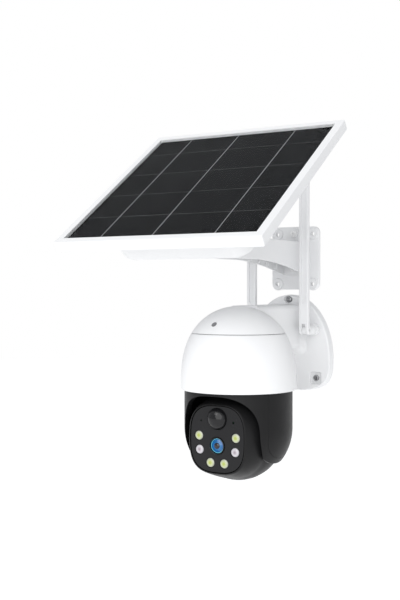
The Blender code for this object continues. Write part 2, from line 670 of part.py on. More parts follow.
def make_tilt_drive():
    profile = ((3.8, -50.6), (3.8, -37.4), (6.0, -37.4), (6.0, -35.8))
    turned("tilt_axle_left", profile, STEEL, "X", (0, HEAD_Y, TILT_Z), 20)
    behind = (0.0, HEAD_Y + tilt_pinion_offset(), TILT_Z)
    motor = rod("tilt_motor", 9.0, 17.0, 33.0, MOTOR, "X", behind, 24)
    cut(motor, rod("tilt_bore_cutter", 1.9, 24.0, 40.0, MOTOR, "X", behind, 12))


# ---------------------------------------------------------------- solar bracket

def make_solar_plate():
    """Plate with a raised round pad at each empty corner hole, and the two screws that hold the arm."""
    half_w = SOLAR_PLATE_WIDTH / 2.0
    half_h = SOLAR_PLATE_HEIGHT / 2.0
    outline = rounded_rectangle((-half_w, -half_h), (half_w, half_h), 7.0, 4)
    plate = prism("panel_wall_plate", outline, -SOLAR_PLATE_DEPTH, 0.0, WHITE, "Y", (SOLAR_X, 0.0, SOLAR_PLATE_Z))
    corners = [(across, level) for across in (-0.5, 0.5) for level in (0.5, -0.5)]
    for number, (across, level) in enumerate(corners):
        spot = (SOLAR_X + across * SOLAR_HOLES[0], 0.0, SOLAR_HOLES_Z + level * SOLAR_HOLES[1])
        join(plate, rod(f"lobe_guide_{number}", 6.3, -SOLAR_LOBE_DEPTH, -1.0, WHITE, "Y", spot, 16))
        cut(plate, rod(f"plate_hole_cutter_{number}", 2.3, -12.0, 2.0, WHITE, "Y", spot, 16))
    for name, z in ARM_HOLES.items():
        cut(plate, rod(f"arm_hole_cutter_{name}", 2.2, -12.0, 2.0, WHITE, "Y", (SOLAR_X, 0, z), 16))
        profile = ((1.8, -0.6), (1.8, -8.8), (3.8, -8.8), (2.8, -10.7))
        turned(f"arm_screw_{name}", profile, STEEL, "Y", (SOLAR_X, 0, z), 12)


def make_arm():
    """Channel open below, its flange screwed to the wall plate, its free end round the tilt bolt."""
    back = -SOLAR_PLATE_DEPTH - GAP
    end = arc((PIVOT.y, PIVOT.z), ARM_TOP - PIVOT.z, 270.0, 90.0, 11)
    side = [(back, ARM_UNDERSIDE[0][1])] + list(ARM_UNDERSIDE) + end + [(back, ARM_TOP)]
    arm = prism("panel_arm", side, -ARM_HALF_WIDTH, ARM_HALF_WIDTH, WHITE, "X", (SOLAR_X, 0, 0))
    inner = ARM_HALF_WIDTH - ARM_WALL
    low = (SOLAR_X - inner, -205.0, 60.0)
    cut(arm, block("channel_cutter", low, (SOLAR_X + inner, back - 4.2, ARM_TOP - ARM_WALL), WHITE))
    cut(arm, block("tongue_slot_cutter", low, (SOLAR_X + inner, -170.0, ARM_TOP + 5.0), WHITE))
    ear = arc((0.0, ARM_HOLES["top"]), 6.0, 0.0, 180.0, 9) + [(-6.0, ARM_TOP - 1.0), (6.0, ARM_TOP - 1.0)]
    join(arm, prism("ear_guide", ear, back - 4.0, back, WHITE, "Y", (SOLAR_X, 0, 0)))
    for i in range(RIB_COUNT):
        y = RIB_FIRST_Y - RIB_PITCH * i
        foot = arm_underside(y) + 1.2
        for sign in (-1.0, 1.0):
            a = SOLAR_X + sign * (inner - 3.0)
            b = SOLAR_X + sign * (inner + 0.8)
            low = (min(a, b), y - 0.8, foot)
            join(arm, block(f"rib_guide_{i}_{int(sign)}", low, (max(a, b), y + 0.8, ARM_TOP - 1.0), WHITE))
    for name, z in ARM_HOLES.items():
        cut(arm, rod(f"flange_hole_cutter_{name}", 2.2, -14.0, 2.0, WHITE, "Y", (SOLAR_X, 0, z), 16))
    cut(arm, rod("pivot_cutter", 3.3, -20.0, 20.0, WHITE, "X", PIVOT, 20))
    return arm


def arm_underside(y):
    points = list(ARM_UNDERSIDE) + [(PIVOT.y, PIVOT.z - (ARM_TOP - PIVOT.z))]
    for (y0, z0), (y1, z1) in zip(points, points[1:]):
        if y0 >= y >= y1:
            return z0 + (z1 - z0) * (y0 - y) / (y0 - y1)
    return points[-1][1]


def make_tilt_bolt():
    outer = ARM_HALF_WIDTH + GAP
    head = ((3.0, 17.0), (3.0, -outer), (5.5, -outer), (5.5, -outer - 3.2), (4.8, -outer - 3.8))
    turned("tilt_bolt", head, STEEL, "X", PIVOT, 18)
    nut = rod("tilt_nut", 5.8, outer, outer + 4.6, STEEL, "X", PIVOT, 6)
    cut(nut, rod("nut_bore_cutter", 3.3, 0.0, 30.0, STEEL, "X", PIVOT, 18))


# ---------------------------------------------------------------- solar panel

def panel_matrix():
    return Matrix.Translation(PANEL_CENTRE * MM) @ Matrix.Rotation(PANEL_TILT, 4, "X")


def on_panel(item):
    item.matrix_world = panel_matrix()
    return item


def panel_block(name, half, low, high, look):
    return on_panel(block(name, (-half, -half, low), (half, half, high), look))


def make_panel():
    frame = on_panel(prism(
        "panel_frame", rounded_rectangle((-PANEL_HALF, -PANEL_HALF), (PANEL_HALF, PANEL_HALF), 1.6, 3),
        -PANEL_DEPTH, 0.0, WHITE,
    ))
    cut(frame, panel_block("glass_seat_cutter", GLASS_HALF, -4.4, 5.0, WHITE))
    cut(frame, panel_block("underside_cutter", PANEL_HALF - 2.5, -20.0, -7.0, WHITE))
    panel_block("panel_glass", GLASS_HALF - GAP, -2.6, -0.5, GLASS)
    panel_block("cell_sheet", GLASS_HALF - GAP, -4.1, -2.9, CELLS)


def tray_ring(inset, level):
    share = (level - TRAY_TOP) / (TRAY_BASE - TRAY_TOP)
    half_x = TRAY_TOP_HALF[0] + (TRAY_BASE_HALF[0] - TRAY_TOP_HALF[0]) * share - inset
    half_b = TRAY_TOP_HALF[1] + (TRAY_BASE_HALF[1] - TRAY_TOP_HALF[1]) * share - inset
    corner = TRAY_CORNER - inset
    return [Vector((x, b, level)) for x, b in rounded_rectangle((-half_x, -half_b), (half_x, half_b), corner, 5)]


def make_tray():
    wall = 2.4
    outer = [tray_ring(0.0, TRAY_TOP), tray_ring(0.0, TRAY_BASE + 2.5), tray_ring(0.8, TRAY_BASE + 0.8)]
    outer += [tray_ring(2.5, TRAY_BASE)]
    tray = on_panel(loft("battery_tray", outer, WHITE))
    inner = [tray_ring(wall, TRAY_TOP + 3.0), tray_ring(wall + 1.0, TRAY_BASE + wall)]
    cut(tray, on_panel(loft("tray_hollow_cutter", inner, WHITE)))
    outlet = on_panel(rod("cable_outlet", 4.4, 68.0, 86.0, BLACK, "Y", (40.0, 0.0, -27.0), 14))
    cut(outlet, on_panel(rod("outlet_bore_cutter", 2.4, 60.0, 90.0, BLACK, "Y", (40.0, 0.0, -27.0), 10)))
    cut(tray, on_panel(rod("outlet_hole_cutter", 4.8, 60.0, 90.0, WHITE, "Y", (40.0, 0.0, -27.0), 14)))
    make_battery()


def make_battery():
    """Three round cells side by side in one wrap."""
    radius = 9.2
    outline = arc((-2.0 * radius, 0.0), radius, 90.0, 270.0, 10) + arc((2.0 * radius, 0.0), radius, 270.0, 450.0, 10)
    on_panel(prism("battery_pack", outline, -34.0, 34.0, BATTERY, "Y", (0.0, 0.0, -28.0)))


def make_tilt_bracket():
    """Plate under the tray with a tongue that turns between the arm's flanks."""
    foot = panel_matrix().inverted() @ (PIVOT * MM) / MM
    base = block("tilt_bracket", (-20.0, foot.y - 16.0, TRAY_BASE - 3.3), (20.0, foot.y + 16.0, TRAY_BASE - GAP), WHITE)
    on_panel(base)
    tongue = arc((foot.y, foot.z), 9.0, 180.0, 360.0, 13)
    tongue += [(foot.y + 11.0, TRAY_BASE - 1.5), (foot.y - 11.0, TRAY_BASE - 1.5)]
    inner = ARM_HALF_WIDTH - ARM_WALL - GAP
    join(base, on_panel(prism("bracket_tongue_guide", tongue, -inner, inner, WHITE, "X")))
    cut(base, on_panel(rod("bracket_bore_cutter", 3.3, -20.0, 20.0, WHITE, "X", (0.0, foot.y, foot.z), 20)))


# ---------------------------------------------------------------- joints and assembly

def hang(names, empty_name, place_mm):
    """Parents pieces to an empty that stands on their joint's axis."""
    empty = bpy.data.objects.new(empty_name, None)
    empty.location = Vector(place_mm) * MM
    bpy.context.scene.collection.objects.link(empty)
    away = Matrix.Translation(Vector(place_mm) * MM).inverted()
    for name in names:
        item = bpy.data.objects[name]
        item.parent = empty
        item.matrix_parent_inverse = away


def hang_everything():
    head = (0.0, HEAD_Y, TILT_Z)
    hang(["yoke_housing", "side_cover_left", "side_cover_right", "pan_gear", "pan_clip", "tilt_gear"], "pan_axis", (0, HEAD_Y, 0))
    eye = ["ball_shell", "face_plate", "led_board", "lens_barrel", "lens_glass", "pir_dome", "image_board"]
    eye += [f"led_{i + 1}" for i in range(len(LED_PLACES))] + ["tilt_axle_left", "tilt_motor"]
    hang(eye, "tilt_axis", head)
    hang(["pan_pinion"], "pan_pinion_axis", (pan_pinion_x(), HEAD_Y, 0.0))
    hang(["tilt_pinion"], "tilt_pinion_axis", (0.0, HEAD_Y + tilt_pinion_offset(), TILT_Z))
    panel = ["panel_frame", "panel_glass", "cell_sheet", "battery_tray", "battery_pack", "cable_outlet", "tilt_bracket"]
    hang(panel, "panel_tilt_axis", PIVOT)
    for side, name in ((-1.0, "left"), (1.0, "right")):
        hinge = (side * ANTENNA_X, HINGE_Y, HINGE_Z)
        hang([f"antenna_base_{name}"], f"antenna_swivel_axis_{name}", hinge)
        hang([f"antenna_paddle_{name}", f"antenna_pin_{name}"], f"antenna_fold_axis_{name}", hinge)


def main():
    clear_scene()
    make_wall_bracket()
    make_shroud()
    make_fixed_camera_parts()
    for side, name in ((-1.0, "left"), (1.0, "right")):
        make_antenna(side, name)
    make_yoke()
    make_pan_gears()
    make_tilt_gears()
    make_ball_shell()
    make_face()
    make_optics()
    make_tilt_drive()
    make_solar_plate()
    make_arm()
    make_tilt_bolt()
    make_panel()
    make_tray()
    make_tilt_bracket()
    hang_everything()


main()
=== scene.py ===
"""Looks for the solar-powered security camera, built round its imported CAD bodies.

Lengths are millimetres in this file and metres in the scene; +Z is up, the wall is Y = 0 and the
object stands out from it along -Y.
"""
import json
import math

import bmesh
import bpy
from mathutils import Matrix, Vector


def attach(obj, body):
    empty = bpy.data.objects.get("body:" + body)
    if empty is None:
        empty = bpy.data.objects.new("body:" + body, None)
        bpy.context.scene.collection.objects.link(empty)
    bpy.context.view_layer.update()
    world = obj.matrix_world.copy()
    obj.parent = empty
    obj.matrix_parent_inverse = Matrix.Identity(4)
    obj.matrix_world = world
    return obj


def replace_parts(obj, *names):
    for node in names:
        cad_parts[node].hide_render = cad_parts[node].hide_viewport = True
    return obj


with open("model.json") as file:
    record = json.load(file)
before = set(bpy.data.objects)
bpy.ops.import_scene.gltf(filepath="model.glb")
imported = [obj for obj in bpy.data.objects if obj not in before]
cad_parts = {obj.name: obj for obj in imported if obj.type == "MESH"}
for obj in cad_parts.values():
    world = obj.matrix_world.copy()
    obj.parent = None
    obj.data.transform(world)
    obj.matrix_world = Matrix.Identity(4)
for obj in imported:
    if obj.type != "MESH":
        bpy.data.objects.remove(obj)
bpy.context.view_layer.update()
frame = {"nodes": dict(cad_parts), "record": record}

MM = 0.001
GAP = 0.3                       # clearance between neighbouring pieces

# camera wall plate and neck
PLATE_HALF_WIDTH = 50.0
PLATE_TOP = 53.0
PLATE_BOTTOM = -53.0
PLATE_WIDEST_Z = -17.0
PLATE_DEPTH = 10.0
PLATE_EDGE = 1.6
NECK_HALF_WIDTH = 17.0
NECK_TOP = 42.3
NECK_BOTTOM = -6.0
WALL_SCREWS = {"top": (0.0, 47.7), "left": (-32.7, -38.1), "right": (32.7, -38.1)}

# dome: top cap above the seam, shroud below it
HEAD_Y = -126.0                 # the pan axis
RIM_RADIUS = 58.0
RIM_Z = -41.0
RIM_BOTTOM = -41.0
DOME_TOP = 42.1
DOME_POWER = 2.75
SEAM_Z = 15.1
DOME_WALL = 2.6
SHROUD_HEIGHTS = (-38.0, -26.0, -12.0, 1.0)
CAP_SCREW_Z = 24.8
CAP_SCREW_TURN = math.radians(-8.0)

# black housing that pans
YOKE_RADIUS = 54.2
YOKE_TOP = -34.5
YOKE_ROUND_Z = -79.0            # below this the housing closes in as a ball
YOKE_WALL = 6.9
TILT_Z = -86.0                  # the tilt axis
ARCH_HALF_WIDTH = 42.0
ARCH_HEIGHT = 42.3
ARCH_POWER = 2.8
LOBE_HALF_DEPTH = 35.5
LOBE_DROP = 25.6
BACK_WALL_DROP = 6.0
COVER_HALF_DEPTH = 26.5
COVER_DROP = 20.3
COVER_TOP = -38.0
COVER_THICKNESS = 1.5

# eyeball
BALL_RADIUS = 46.0
BALL_FLAT = 40.0                # flat cheeks at each side
BALL_WALL = 2.2
SWING_HALF = 36.0               # the housing is relieved between the cheeks for the face barrel's swing
BLEND_START = 16.0              # ahead of this the ball becomes the face barrel
FACE_REACH = 44.0
FACE_HALF_WIDTH = 31.0
FACE_HALF_HEIGHT = 33.7
FACE_POWER = 2.9
LENS_V = -6.3
PIR_V = 19.8
LED_PLACES = ((-20.35, 2.4), (20.35, 2.4), (-19.6, -11.2), (19.6, -11.2), (-7.6, -23.2), (7.6, -23.2))
MIC_PLACE = (-17.8, 17.1)
SENSOR_PLACE = (17.8, 17.1)
LENS_RADIUS = 8.4
PIR_RADIUS = 10.4
LED_RADIUS = 4.5

# gears
TILT_MODULE = 0.8
TILT_TEETH = 16
TILT_PINION_TEETH = 10
GEAR_SPREAD = 0.25              # how much wider apart than the pitch circles the axes stand

# antennas
ANTENNA_X = 31.4
HINGE_Y = -34.0
HINGE_Z = 15.0
PADDLE_WIDTH = 10.8
PADDLE_THICKNESS = 4.6
PADDLE_TOP = 197.0
BARREL_RADIUS = 4.6

# solar panel bracket
SOLAR_X = 5.9
SOLAR_PLATE_Z = 93.4
SOLAR_PLATE_WIDTH = 57.0
SOLAR_PLATE_HEIGHT = 69.5
SOLAR_PLATE_DEPTH = 4.2
SOLAR_LOBE_DEPTH = 6.0
SOLAR_HOLES = (42.6, 55.2)
SOLAR_HOLES_Z = 92.3
ARM_HOLES = {"top": 119.7, "low": 82.0}
ARM_HALF_WIDTH = 14.0
ARM_WALL = 2.0
ARM_TOP = 110.7
ARM_UNDERSIDE = ((-8.5, 75.0), (-32.0, 79.4), (-53.0, 83.0), (-70.0, 85.2), (-90.0, 87.3), (-112.0, 88.7))
RIB_FIRST_Y = -31.5
RIB_PITCH = 20.0
RIB_COUNT = 6

# solar panel; its own axes are X, up its slope and out of its glass
PIVOT = Vector((SOLAR_X, -188.0, 99.7))
PANEL_CENTRE = Vector((SOLAR_X, -207.2, 160.3))
PANEL_TILT = math.radians(34.3)
PANEL_HALF = 105.5
PANEL_DEPTH = 10.2
GLASS_HALF = 98.1
TRAY_TOP_HALF = (73.0, 80.0)
TRAY_BASE_HALF = (66.0, 72.7)
TRAY_CORNER = 15.0
TRAY_TOP = -7.3
TRAY_BASE = -42.0


def place(axis, origin, across, along, height):
    """A point at (across, along) in the plane square to an axis, and at height on that axis."""
    if axis == "X":
        local = Vector((height, across, along))
    elif axis == "Y":
        local = Vector((across, height, along))
    else:
        local = Vector((across, along, height))
    return origin + local


def skin(rings, closed_rings):
    """Faces between successive rings of equal length; the ends are capped unless the rings close up."""
    count = len(rings[0])
    points = [p for ring in rings for p in ring]
    faces = []
    pairs = len(rings) if closed_rings else len(rings) - 1
    for i in range(pairs):
        low = i * count
        high = ((i + 1) % len(rings)) * count
        for j in range(count):
            k = (j + 1) % count
            faces.append((low + j, low + k, high + k, high + j))
    if not closed_rings:
        faces.append(tuple(reversed(range(count))))
        last = (len(rings) - 1) * count
        faces.append(tuple(last + j for j in range(count)))
    return points, faces


def superellipse(half_width, half_height, power, count, centre=(0.0, 0.0)):
    outline = []
    for i in range(count):
        angle = 2.0 * math.pi * i / count
        c = math.cos(angle)
        s = math.sin(angle)
        across = half_width * math.copysign(abs(c) ** (2.0 / power), c)
        along = half_height * math.copysign(abs(s) ** (2.0 / power), s)
        outline.append((centre[0] + across, centre[1] + along))
    return outline


def rounded_rectangle(low, high, radius, per_corner=5):
    corners = (
        (high[0] - radius, high[1] - radius, 0.0),
        (low[0] + radius, high[1] - radius, 90.0),
        (low[0] + radius, low[1] + radius, 180.0),
        (high[0] - radius, low[1] + radius, 270.0),
    )
    outline = []
    for a, b, start in corners:
        for i in range(per_corner):
            angle = math.radians(start + 90.0 * i / (per_corner - 1))
            outline.append((a + radius * math.cos(angle), b + radius * math.sin(angle)))
    return outline


def arc(centre, radius, start, end, count):
    outline = []
    for i in range(count):
        angle = math.radians(start + (end - start) * i / (count - 1))
        outline.append((centre[0] + radius * math.cos(angle), centre[1] + radius * math.sin(angle)))
    return outline


def dome_radius(z):
    """Outer radius of the dome at a height; straight below the rim line."""
    rise = min(max((z - RIM_Z) / (DOME_TOP - RIM_Z), 0.0), 1.0)
    return RIM_RADIUS * math.sqrt(max(1.0 - rise ** DOME_POWER, 0.0))


def dome_profile(low, high, inset, count):
    heights = [low + (high - low) * math.sin(0.5 * math.pi * i / (count - 1)) for i in range(count)]
    return [(max(dome_radius(z) - inset, 0.4), z) for z in heights]


def ball_half_sizes(reach, inset):
    """Half width, half height and corner power of the ball's section at a reach ahead of its centre."""
    radius = BALL_RADIUS - inset
    if reach <= BLEND_START:
        size = math.sqrt(max(radius ** 2 - reach ** 2, 9.0))
        return size, size, 2.0
    start = math.sqrt(radius ** 2 - BLEND_START ** 2)
    share = (reach - BLEND_START) / (FACE_REACH - BLEND_START)
    ease = 0.8 * share + 0.2 * share ** 2
    rim = 0.6 * inset
    width = start + (FACE_HALF_WIDTH - rim - start) * ease
    height = start + (FACE_HALF_HEIGHT - rim - start) * ease
    return width, height, 2.0 + (FACE_POWER - 2.0) * share


def arm_underside(y):
    points = list(ARM_UNDERSIDE) + [(PIVOT.y, PIVOT.z - (ARM_TOP - PIVOT.z))]
    for (y0, z0), (y1, z1) in zip(points, points[1:]):
        if y0 >= y >= y1:
            return z0 + (z1 - z0) * (y0 - y) / (y0 - y1)
    return points[-1][1]


def panel_matrix():
    return Matrix.Translation(PANEL_CENTRE * MM) @ Matrix.Rotation(PANEL_TILT, 4, "X")



MATERIAL_SLOT = {row["node"]: row["material_slot"] for row in frame["record"]["subparts"]}
HEAD = Vector((0.0, HEAD_Y, 0.0))
EYE = Vector((0.0, HEAD_Y, TILT_Z))


# ---------------------------------------------------------------- making and joining meshes

def shape(points, faces, name="tool"):
    """A mesh object from points in millimetres, faces turned outwards."""
    mesh = bpy.data.meshes.new(name)
    mesh.from_pydata([tuple(c * MM for c in p) for p in points], [], faces)
    mesh.validate()
    work = bmesh.new()
    work.from_mesh(mesh)
    bmesh.ops.recalc_face_normals(work, faces=work.faces)
    work.to_mesh(mesh)
    work.free()
    item = bpy.data.objects.new(name, mesh)
    bpy.context.scene.collection.objects.link(item)
    return item


def loft(rings, closed_rings=False, name="tool"):
    points, faces = skin(rings, closed_rings)
    return shape(points, faces, name)


def turned(profile, axis="Z", origin=(0.0, 0.0, 0.0), steps=64, name="tool"):
    """A turned solid from (radius, height) pairs; a ring when the profile never meets the axis."""
    origin = Vector(origin)
    rings = []
    for radius, height in profile:
        ring = []
        for i in range(steps):
            angle = 2.0 * math.pi * i / steps
            ring.append(place(axis, origin, radius * math.cos(angle), radius * math.sin(angle), height))
        rings.append(ring)
    return loft(rings, len(profile) > 3 and profile[0][1] == profile[-1][1], name)


def rod(radius, low, high, axis="Z", origin=(0.0, 0.0, 0.0), steps=48):
    return turned(((radius, low), (radius, high)), axis, origin, steps)


def prism(outline, low, high, axis="Z", origin=(0.0, 0.0, 0.0), name="tool"):
    origin = Vector(origin)
    return loft([[place(axis, origin, a, b, h) for a, b in outline] for h in (low, high)], False, name)


def block(low, high):
    outline = ((low[0], low[1]), (high[0], low[1]), (high[0], high[1]), (low[0], high[1]))
    return prism(outline, low[2], high[2])


def settle(item):
    """Applies the object's modifiers and its placing to its mesh."""
    bpy.context.view_layer.update()
    seen = item.evaluated_get(bpy.context.evaluated_depsgraph_get())
    mesh = bpy.data.meshes.new_from_object(seen)
    mesh.transform(item.matrix_world)
    item.modifiers.clear()
    item.data = mesh
    item.matrix_world = Matrix.Identity(4)
    return item


def combine(item, others, operation):
    for other in others:
        step = item.modifiers.new("combine", "BOOLEAN")
        step.operation = operation
        step.solver = "EXACT"
        step.object = other
    settle(item)
    for other in others:
        bpy.data.objects.remove(other, do_unlink=True)
    return item


def cut(item, *others):
    return combine(item, others, "DIFFERENCE")


def join(item, *others):
    return combine(item, others, "UNION")


def keep(item, *others):
    return combine(item, others, "INTERSECT")


def rounded(item, width, segments=3, angle=40.0):
    """Rounds every edge sharper than the angle."""
    weld = item.modifiers.new("weld", "WELD")
    weld.merge_threshold = 0.01 * MM
    step = item.modifiers.new("round", "BEVEL")
    step.width = width * MM
    step.segments = segments
    step.limit_method = "ANGLE"
    step.angle_limit = math.radians(angle)
    step.use_clamp_overlap = True
    return settle(item)


def piece(item, name, body, nodes, look=None, smooth=34.0):
    """Names a finished mesh, gives it its finish, hangs it on its body and lets it stand for its CAD nodes."""
    item.name = name
    item.data.name = name
    for face in item.data.polygons:
        face.use_smooth = True
    item.data.set_sharp_from_angle(angle=math.radians(smooth))
    step = item.modifiers.new("even_normals", "WEIGHTED_NORMAL")
    step.keep_sharp = True
    slot = MATERIAL_SLOT[nodes[0]]
    item.data.materials.clear()
    item.data.materials.append(look or LOOKS[slot])
    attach(item, body)
    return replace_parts(item, *nodes)


def extra(item, name, body, look, smooth=34.0):
    """A finished mesh that stands beside the piece which replaces its node."""
    item.name = name
    for face in item.data.polygons:
        face.use_smooth = True
    item.data.set_sharp_from_angle(angle=math.radians(smooth))
    item.data.materials.clear()
    item.data.materials.append(look)
    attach(item, body)
    return item


# ---------------------------------------------------------------- finishes

def graph(name):
    made = bpy.data.materials.new(name)
    made.use_nodes = True
    tree = made.node_tree
    return made, tree, tree.nodes["Principled BSDF"]


def grain(tree, scale, detail=3.0):
    place_node = tree.nodes.new("ShaderNodeTexCoord")
    noise = tree.nodes.new("ShaderNodeTexNoise")
    noise.inputs["Scale"].default_value = scale
    noise.inputs["Detail"].default_value = detail
    tree.links.new(place_node.outputs["Object"], noise.inputs["Vector"])
    return noise.outputs["Fac"]


def ramp(tree, source, stops, interpolation="LINEAR"):
    node = tree.nodes.new("ShaderNodeValToRGB")
    node.color_ramp.interpolation = interpolation
    marks = node.color_ramp.elements
    while len(marks) < len(stops):
        marks.new(0.5)
    for mark, (position, colour) in zip(marks, stops):
        mark.position = position
        mark.color = (*colour, 1.0) if len(colour) == 3 else (colour[0],) * 3 + (1.0,)
    tree.links.new(source, node.inputs["Fac"])
    return node.outputs["Color"]


def bumped(tree, shader, height, distance, strength):
    node = tree.nodes.new("ShaderNodeBump")
    node.inputs["Distance"].default_value = distance
    node.inputs["Strength"].default_value = strength
    tree.links.new(height, node.inputs["Height"])
    tree.links.new(node.outputs["Normal"], shader.inputs["Normal"])


def moulded(name, dark, light, roughness, texture, specular=0.5, coat=0.0, metallic=0.0):
    """Moulded plastic or metal: a slow drift of colour and gloss, and a fine spark-eroded texture."""
    made, tree, shader = graph(name)
    slow = grain(tree, 18.0)
    tree.links.new(ramp(tree, slow, ((0.3, dark), (0.7, light))), shader.inputs["Base Color"])
    middle = grain(tree, 140.0)
    low, high = roughness
    tree.links.new(ramp(tree, middle, ((0.25, (low,)), (0.75, (high,)))), shader.inputs["Roughness"])
    bumped(tree, shader, grain(tree, 2600.0, 2.0), 0.0001, texture)
    shader.inputs["Specular IOR Level"].default_value = specular
    shader.inputs["Coat Weight"].default_value = coat
    shader.inputs["Coat Roughness"].default_value = 0.08
    shader.inputs["Metallic"].default_value = metallic
    return made


def brushed(name, dark, light, roughness):
    """Machined steel: short streaks of tone and gloss."""
    made, tree, shader = graph(name)
    streaks = grain(tree, 900.0, 4.0)
    tree.links.new(ramp(tree, streaks, ((0.3, dark), (0.7, light))), shader.inputs["Base Color"])
    low, high = roughness
    tree.links.new(ramp(tree, streaks, ((0.2, (low,)), (0.8, (high,)))), shader.inputs["Roughness"])
    bumped(tree, shader, streaks, 0.00005, 0.3)
    shader.inputs["Metallic"].default_value = 1.0
    return made


def from_axis(tree, centre, reach):
    """Distance in the X and Z of the object from a centre in millimetres, as a share of a reach."""
    place_node = tree.nodes.new("ShaderNodeTexCoord")
    offset = tree.nodes.new("ShaderNodeVectorMath")
    offset.operation = "SUBTRACT"
    offset.inputs[1].default_value = (centre[0] * MM, 0.0, centre[1] * MM)
    flat = tree.nodes.new("ShaderNodeVectorMath")
    flat.operation = "MULTIPLY"
    flat.inputs[1].default_value = (1.0, 0.0, 1.0)
    size = tree.nodes.new("ShaderNodeVectorMath")
    size.operation = "LENGTH"
    share = tree.nodes.new("ShaderNodeMath")
    share.operation = "DIVIDE"
    share.inputs[1].default_value = reach * MM
    tree.links.new(place_node.outputs["Object"], offset.inputs[0])
    tree.links.new(offset.outputs["Vector"], flat.inputs[0])
    tree.links.new(flat.outputs["Vector"], size.inputs[0])
    tree.links.new(size.outputs["Value"], share.inputs[0])
    return share.outputs["Value"]


def ringed(name, centre, reach, stops, roughness, coat=1.0, specular=0.5):
    """Rings of colour about an axis of the face, such as a lens whose coating reflections are painted in, or a
    lamp under its clear dome.
    """
    made, tree, shader = graph(name)
    distance = from_axis(tree, centre, reach)
    tree.links.new(ramp(tree, distance, stops), shader.inputs["Base Color"])
    low, high = roughness
    fine = grain(tree, 600.0)
    tree.links.new(ramp(tree, fine, ((0.3, (low,)), (0.7, (high,)))), shader.inputs["Roughness"])
    shader.inputs["Coat Weight"].default_value = coat
    shader.inputs["Coat Roughness"].default_value = 0.04
    shader.inputs["Specular IOR Level"].default_value = specular
    return made


def clear(name, tint, roughness, ior):
    made, tree, shader = graph(name)
    tree.links.new(ramp(tree, grain(tree, 40.0), ((0.3, tint), (0.7, tuple(0.96 * c for c in tint)))),
        shader.inputs["Base Color"])
    low, high = roughness
    tree.links.new(ramp(tree, grain(tree, 300.0), ((0.3, (low,)), (0.7, (high,)))),
        shader.inputs["Roughness"])
    shader.inputs["Transmission Weight"].default_value = 1.0
    shader.inputs["IOR"].default_value = ior
    return made


def silicon(name):
    """Dark wafer with fine printed fingers across it."""
    made, tree, shader = graph(name)
    place_node = tree.nodes.new("ShaderNodeTexCoord")
    wave = tree.nodes.new("ShaderNodeTexWave")
    wave.wave_type = "BANDS"
    wave.bands_direction = "X"
    wave.inputs["Scale"].default_value = 190.0
    wave.inputs["Distortion"].default_value = 0.0
    tree.links.new(place_node.outputs["Object"], wave.inputs["Vector"])
    cells = grain(tree, 30.0)
    fingers = ramp(tree, wave.outputs["Fac"], ((0.90, (0.0,)), (1.0, (1.0,))))
    tone = ramp(tree, cells, ((0.3, (0.0075, 0.0077, 0.0085)), (0.7, (0.0100, 0.0102, 0.0112))))
    mix = tree.nodes.new("ShaderNodeMixRGB")
    mix.inputs["Color2"].default_value = (0.019, 0.019, 0.021, 1.0)
    tree.links.new(fingers, mix.inputs["Fac"])
    tree.links.new(tone, mix.inputs["Color1"])
    tree.links.new(mix.outputs["Color"], shader.inputs["Base Color"])
    tree.links.new(ramp(tree, cells, ((0.3, (0.34,)), (0.7, (0.44,)))), shader.inputs["Roughness"])
    shader.inputs["Specular IOR Level"].default_value = 0.05
    return made


LOOKS = {
    "white_plastic": moulded("white_plastic", (0.80, 0.805, 0.815), (0.83, 0.835, 0.84), (0.30, 0.38),
        0.10, 0.45),
    "black_plastic": moulded("black_plastic", (0.010, 0.010, 0.0105), (0.014, 0.014, 0.0145),
        (0.36, 0.46), 0.14, 0.16),
    "face_black": moulded("face_black", (0.011, 0.011, 0.012), (0.014, 0.014, 0.015), (0.20, 0.28), 0.05,
        0.18, 0.1),
    "screw_steel": brushed("screw_steel", (0.30, 0.30, 0.31), (0.42, 0.42, 0.43), (0.28, 0.42)),
    "motor_steel": brushed("motor_steel", (0.50, 0.51, 0.53), (0.58, 0.59, 0.61), (0.30, 0.40)),
    "gear_plastic": moulded("gear_plastic", (0.78, 0.76, 0.70), (0.84, 0.82, 0.76), (0.42, 0.52), 0.10),
    "board_green": moulded("board_green", (0.016, 0.13, 0.05), (0.022, 0.18, 0.07), (0.35, 0.5), 0.30),
    "seal_rubber": moulded("seal_rubber", (0.022, 0.022, 0.022), (0.030, 0.030, 0.030), (0.60, 0.75),
        0.30, 0.3),
    "panel_glass": clear("panel_glass", (0.97, 0.98, 0.98), (0.06, 0.10), 1.02),
    "solar_cells": silicon("solar_cells"),
    "bearing_plastic": moulded("bearing_plastic", (0.70, 0.70, 0.67), (0.78, 0.78, 0.75), (0.35, 0.45),
        0.1),
    "battery_wrap": moulded("battery_wrap", (0.04, 0.16, 0.38), (0.06, 0.22, 0.48), (0.28, 0.36), 0.1,
        0.5, 0.3),
    "pir_black": moulded("pir_black", (0.006, 0.006, 0.007), (0.009, 0.009, 0.010), (0.10, 0.15), 0.02,
        0.30, 0.15),
}
# Lens rings: the dark rings are the lens's own colour; the blue and cyan rings are painted reflections of its
# coating.
LENS_RINGS_AND_PAINTED_REFLECTIONS = (
    (0.00, (0.10, 0.010, 0.008)), (0.06, (0.01, 0.002, 0.003)), (0.10, (0.001, 0.001, 0.002)),
    (0.36, (0.001, 0.001, 0.006)), (0.42, (0.002, 0.020, 0.12)), (0.47, (0.008, 0.085, 0.30)),
    (0.52, (0.010, 0.30, 0.52)), (0.57, (0.006, 0.050, 0.22)), (0.70, (0.010, 0.16, 0.44)),
    (0.78, (0.010, 0.12, 0.34)), (0.85, (0.006, 0.06, 0.24)), (0.93, (0.16, 0.62, 0.78)),
    (1.00, (0.10, 0.42, 0.60)),
)
